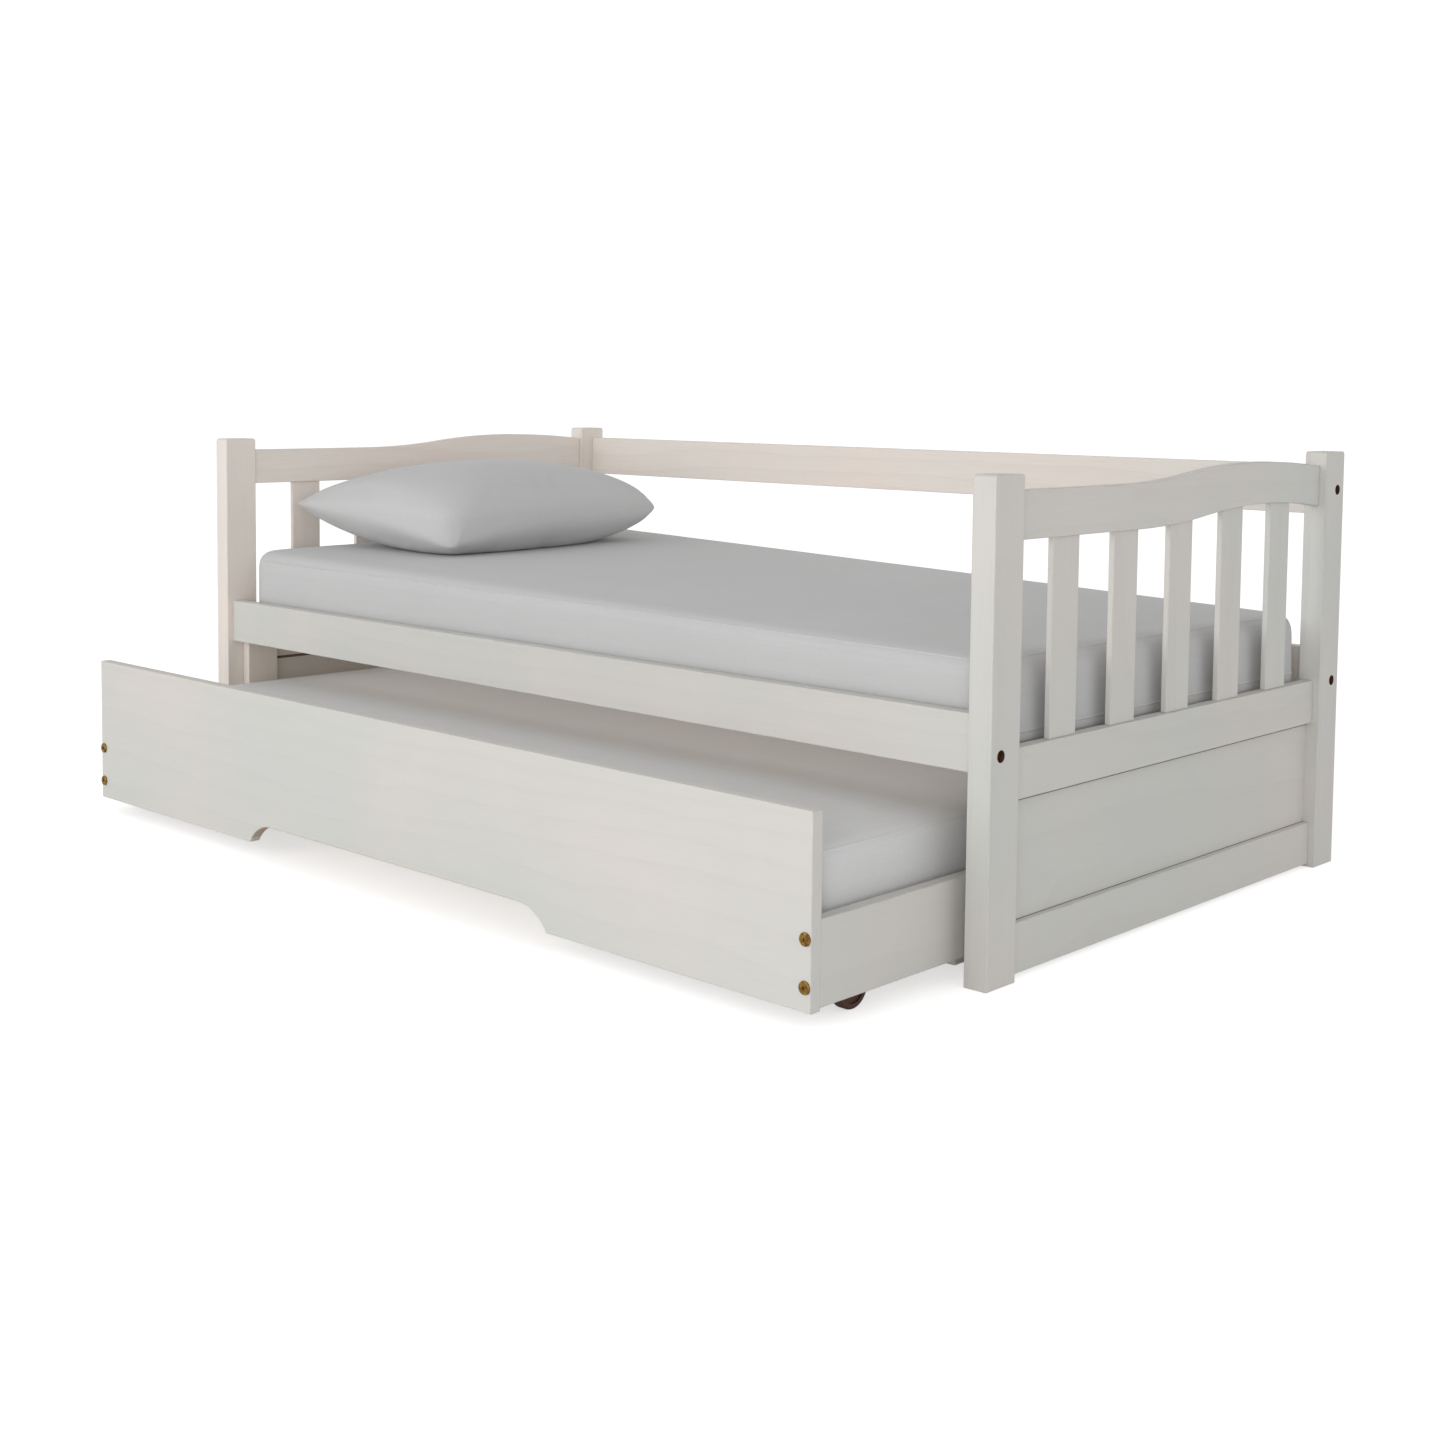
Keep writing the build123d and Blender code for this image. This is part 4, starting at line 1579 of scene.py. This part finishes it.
@dataclass
class PackedParts:
    """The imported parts, which keep their meshes and get their finishes.

    Attributes:
        palette: The finishes.
        recess: The recesses in the posts.
        crosswise: The parts that hold several boards, which run across the bed.
        scoop_height: The most that the hand hold's cut faces are above the board's lower edge.
        scoop_start: The least that they are above it.
        scoop_tilt: The most that their direction points up.
    """

    frame: dict[str, Any]
    palette: Palette = field(default_factory=Palette)
    recess: BoltRecess = field(default_factory=BoltRecess)
    crosswise: tuple[str, ...] = ("bed_slats", "trundle_slats")
    scoop_height: float = 60 * MM
    scoop_start: float = 1.6 * MM
    scoop_tilt: float = -0.2

    def grain_of(self, node: str) -> Grain:
        """Gives the grain of a part: along its longest side, or across the bed for slats."""
        if node in self.crosswise:
            return Grain.ALONG_Y
        low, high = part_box(node)
        size = high - low
        return list(Grain)[max(range(3), key=lambda axis: size[axis])]

    @staticmethod
    def coat_of(node: str) -> Coat:
        """Gives a painted part's copy of the wash: the lighter, warmer one with painted light for the head end
        and the back, the plain one for the rest.
        """
        # The head end and the back get the lighter copy of the wash: painted light.
        warm = not node.startswith("trundle") and ("left" in node or node.startswith("back_rail"))
        return Coat.WARM if warm else Coat.COOL

    def finish_of(self, node: str, slot: str) -> Finish | None:
        """Gives a part's finish.

        Args:
            node: The part.
            slot: Its slot in the record.

        Returns:
            The finish, or None for a soft solid, which isn't shown.
        """
        known = {
            "painted_pine": self.palette.painted(self.grain_of(node), self.coat_of(node)),
            "bare_pine": self.palette.bare(self.grain_of(node)),
            "beech_dowel": self.palette.beech,
            "antique_brass": self.palette.brass,
            "zinc_steel": self.palette.zinc,
            "brown_wheel": self.palette.wheel,
        }
        return known.get(slot)

    def scoop_faces(self, mesh: bpy.types.Mesh, node: str) -> list[int]:
        """Finds the cut faces of the hand hold in the front board's lower edge.

        Args:
            mesh: The board's mesh.
            node: The board.

        Returns:
            The indices of those faces.
        """
        low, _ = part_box(node)
        found = []
        for face in mesh.polygons:
            above = all(mesh.vertices[v].co.z > low.z + self.scoop_start for v in face.vertices)
            near = face.center.z < low.z + self.scoop_height
            if above and near and face.normal.z < self.scoop_tilt:
                found.append(face.index)
        return found

    def build(self) -> None:
        """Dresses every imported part."""
        for entry in self.frame["record"]["subparts"]:
            node = entry["node"]
            finish = self.finish_of(node, entry["material_slot"])
            if finish is None:
                continue
            mesh = self.frame["nodes"][node].data
            mesh.materials.clear()
            mesh.materials.append(finish.material())
            chosen: list[int] = []
            if node.startswith("post_"):
                # The recess faces get the dark tone of uncoated wood with painted shade.
                mesh.materials.append(self.palette.bore.material())
                chosen = self.recess.faces(node, mesh)
            elif node == "trundle_front_board":
                mesh.materials.append(self.palette.cut_edge.material())
                chosen = self.scoop_faces(mesh, node)
            for index in chosen:
                mesh.polygons[index].material_index = 1
            LOG.info("%s is %s, with %d faces of a second finish", node, finish.name, len(chosen))


@dataclass
class PanelBeads:
    """Thin dark lines where an end panel enters its rails: uncoated wood and glue at the joints, with painted
    shadow of the middle rail in the thicker upper line.

    Attributes:
        upper: The thick bead under the middle rail, which paints the rail's shadow.
        lower: The finer bead on the bottom rail.
        drop: How far under the middle rail the upper bead's middle is.
        finish: Its dark wood tone, which also serves as the painted shadow.
    """

    # The upper bead's thickness paints the middle rail's shadow on the panel.
    upper: Seam = Seam(cord=3.0 * MM)
    lower: Seam = Seam(cord=0.8 * MM)
    drop: float = 2 * MM
    finish: RawBore = RawBore("glue line", Grain.ALONG_Y, shade(126, 106, 88), shade(100, 82, 66))

    def build(self) -> None:
        """Lays the beads of both ends, on the panels' outer and inner faces."""
        for side in ("left", "right"):
            low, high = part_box(f"end_panel_{side}")
            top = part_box(f"middle_rail_{side}")[0].z
            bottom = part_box(f"bottom_rail_{side}")[1].z
            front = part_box(f"post_front_{side}")[1].y
            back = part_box(f"post_back_{side}")[0].y
            steps = np.linspace(front, back, 40)
            for row, seam, z in (("upper", self.upper, top - self.drop), ("lower", self.lower, bottom)):
                paths = [[Vector((x, float(y), z)) for y in steps] for x in (low.x, high.x)]
                bead = seam.sew(f"panel_bead_{side}_{row}", SewingTree.WELT, paths, False, self.finish)
                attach(bead, "bed_frame")


# ---------------------------------------------------------------- studio


@dataclass(frozen=True)
class SoftBox:
    """A soft studio light.

    Attributes:
        name: Its name.
        place: Where it stands.
        width: Its width.
        height: Its height.
        power: Its power in watts.
        aim: What it points at, or None for the bed's middle.
    """

    name: str
    place: tuple[float, float, float]
    width: float
    height: float
    power: float
    aim: tuple[float, float, float] | None = None

    def build(self, middle: Vector) -> None:
        """Makes the light and points it. The light's own face isn't seen.

        Args:
            middle: The bed's middle.
        """
        lamp = bpy.data.lights.new(self.name, "AREA")
        lamp.shape = "RECTANGLE"
        lamp.size = self.width
        lamp.size_y = self.height
        lamp.energy = self.power
        made = bpy.data.objects.new(self.name, lamp)
        made.location = self.place
        target = middle if self.aim is None else Vector(self.aim)
        made.rotation_euler = (target - Vector(self.place)).to_track_quat("-Z", "Y").to_euler()
        made.visible_camera = False
        bpy.context.scene.collection.objects.link(made)


@dataclass(frozen=True)
class Viewpoint:
    """The camera, a little above the bed's top, off its front right corner.

    Attributes:
        azimuth: The angle from the front, towards the foot end, in degrees.
        elevation: How far it looks down, in degrees.
        roll: How far it leans, in degrees.
        place: Where it stands.
        lens: Its focal length in millimetres.
        shift: How far the picture is shifted right and up, as shares of its width.
    """

    azimuth: float = 43.42
    elevation: float = 4.01
    roll: float = 0.57
    place: tuple[float, float, float] = (2.507, -2.542, 0.847)
    lens: float = 47.2
    shift: tuple[float, float] = (0.0026, -0.14)

    def build(self) -> None:
        """Makes the camera and sets it as the scene's."""
        turn, tip, lean = (math.radians(angle) for angle in (self.azimuth, self.elevation, self.roll))
        back = Vector((math.sin(turn) * math.cos(tip), -math.cos(turn) * math.cos(tip), math.sin(tip)))
        right = Vector((math.cos(turn), math.sin(turn), 0.0))
        up = back.cross(right)
        leaned_right = right * math.cos(lean) + up * math.sin(lean)
        leaned_up = up * math.cos(lean) - right * math.sin(lean)
        camera = bpy.data.cameras.new("viewpoint")
        camera.lens = self.lens
        camera.sensor_width = 36.0
        camera.shift_x, camera.shift_y = self.shift
        camera.clip_end = 100.0
        made = bpy.data.objects.new("viewpoint", camera)
        axes = Matrix((leaned_right, leaned_up, back)).transposed().to_4x4()
        made.matrix_world = Matrix.Translation(self.place) @ axes
        bpy.context.scene.collection.objects.link(made)
        bpy.context.scene.camera = made


@dataclass
class Studio:
    """A white studio: floor, even surrounding light and soft boxes.

    Attributes:
        floor_size: The floor's side.
        surround: The strength of the light from all round, level with the bed.
        overhead: Its strength from straight above.
        backdrop: The brightness of the backdrop itself.
        boxes: The soft boxes.
        view: The camera.
    """

    floor_size: float = 60.0
    surround: float = 1.0
    overhead: float = 0.42
    backdrop: float = 1.0
    boxes: tuple[SoftBox, ...] = (
        SoftBox("front soft box", (-1.5, -8.0, 2.6), 4.0, 4.0, 150.0),
        SoftBox("low fill", (3.4, -4.4, 0.8), 1.6, 1.6, 34.0),
        SoftBox("fill under the bed", (0.0, -0.05, 0.3), 1.7, 0.5, 0.7, (0.0, -0.05, 0.0)),
    )
    view: Viewpoint = field(default_factory=Viewpoint)

    def floor(self) -> None:
        """Makes the floor and marks it as not part of the bed."""
        half = self.floor_size / 2
        corners = np.array([(-half, -half, 0.0), (half, -half, 0.0), (half, half, 0.0), (-half, half, 0.0)])
        made = new_object("floor", corners, [(0, 1, 2, 3)])
        made.data.materials.append(StageFinish("studio floor").material())
        made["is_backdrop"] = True

    def light(self) -> None:
        """Sets the surrounding light and the backdrop's brightness."""
        world = bpy.data.worlds.new("studio")
        bpy.context.scene.world = world
        world.use_nodes = True
        wires = Wiring(world.node_tree)
        world.node_tree.nodes.clear()
        seen = wires.node("ShaderNodeLightPath").outputs["Is Camera Ray"]
        toward = wires.node("ShaderNodeTexCoord").outputs["Generated"]
        height = wires.math("ABSOLUTE", wires.node("ShaderNodeSeparateXYZ", {0: toward}).outputs["Z"])
        level = wires.remap(height, 0.0, 1.0, self.surround, self.overhead)
        strength = wires.remap(seen, 0.0, 1.0, level, self.backdrop)
        glow = wires.node("ShaderNodeBackground", {"Color": (1.0, 1.0, 1.0, 1.0), "Strength": strength})
        output = wires.node("ShaderNodeOutputWorld")
        wires.feed(output.inputs["Surface"], glow.outputs[0])

    def build(self) -> None:
        """Makes the floor, the lights and the camera."""
        low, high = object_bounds()
        aim = (low + high) / 2
        self.floor()
        self.light()
        for box in self.boxes:
            box.build(aim)
        self.view.build()
        bpy.context.scene.view_settings.view_transform = "Standard"


def main() -> None:
    """Builds the bed's looks in order."""
    logging.basicConfig(level=logging.INFO, format="%(name)s: %(message)s")
    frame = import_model()
    palette = Palette()
    PackedParts(frame, palette).build()
    PanelBeads().build()
    pillow_low, pillow_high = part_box("pillow")
    pillow_middle = (pillow_low + pillow_high) / 2
    mattress = Mattress(
        "mattress",
        "mattress",
        "mattress_cover",
        palette.mattress,
        swelling=Swelling(cap=5 * MM),
        head_rise=23 * MM,
        twist=7 * MM,
        level=-2 * MM,
        support=float(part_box("slat_ledge_back")[1].x),
        droop=22 * MM,
        spread=9 * MM,
        hollow=(pillow_middle.x, pillow_middle.y, 190 * MM, 290 * MM, 8 * MM),
    ).build()
    LOG.info("mattress has %d faces", len(mattress.data.polygons))
    Mattress(
        "trundle_mattress",
        "trundle",
        "trundle_mattress_cover",
        palette.trundle_mattress,
        swelling=Swelling(cap=5 * MM),
        head_rise=-3 * MM,
        level=-4 * MM,
        crown=4 * MM,
    ).build()
    Pillow(
        "pillow",
        "pillow",
        "pillow_cover",
        palette.pillow,
        fill=0.75,
        swelling=Swelling(pressure=3.0, cap=8 * MM),
        cell=8 * MM,
    ).build(mattress)
    Studio().build()
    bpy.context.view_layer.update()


if __name__ == "__main__":
    main()
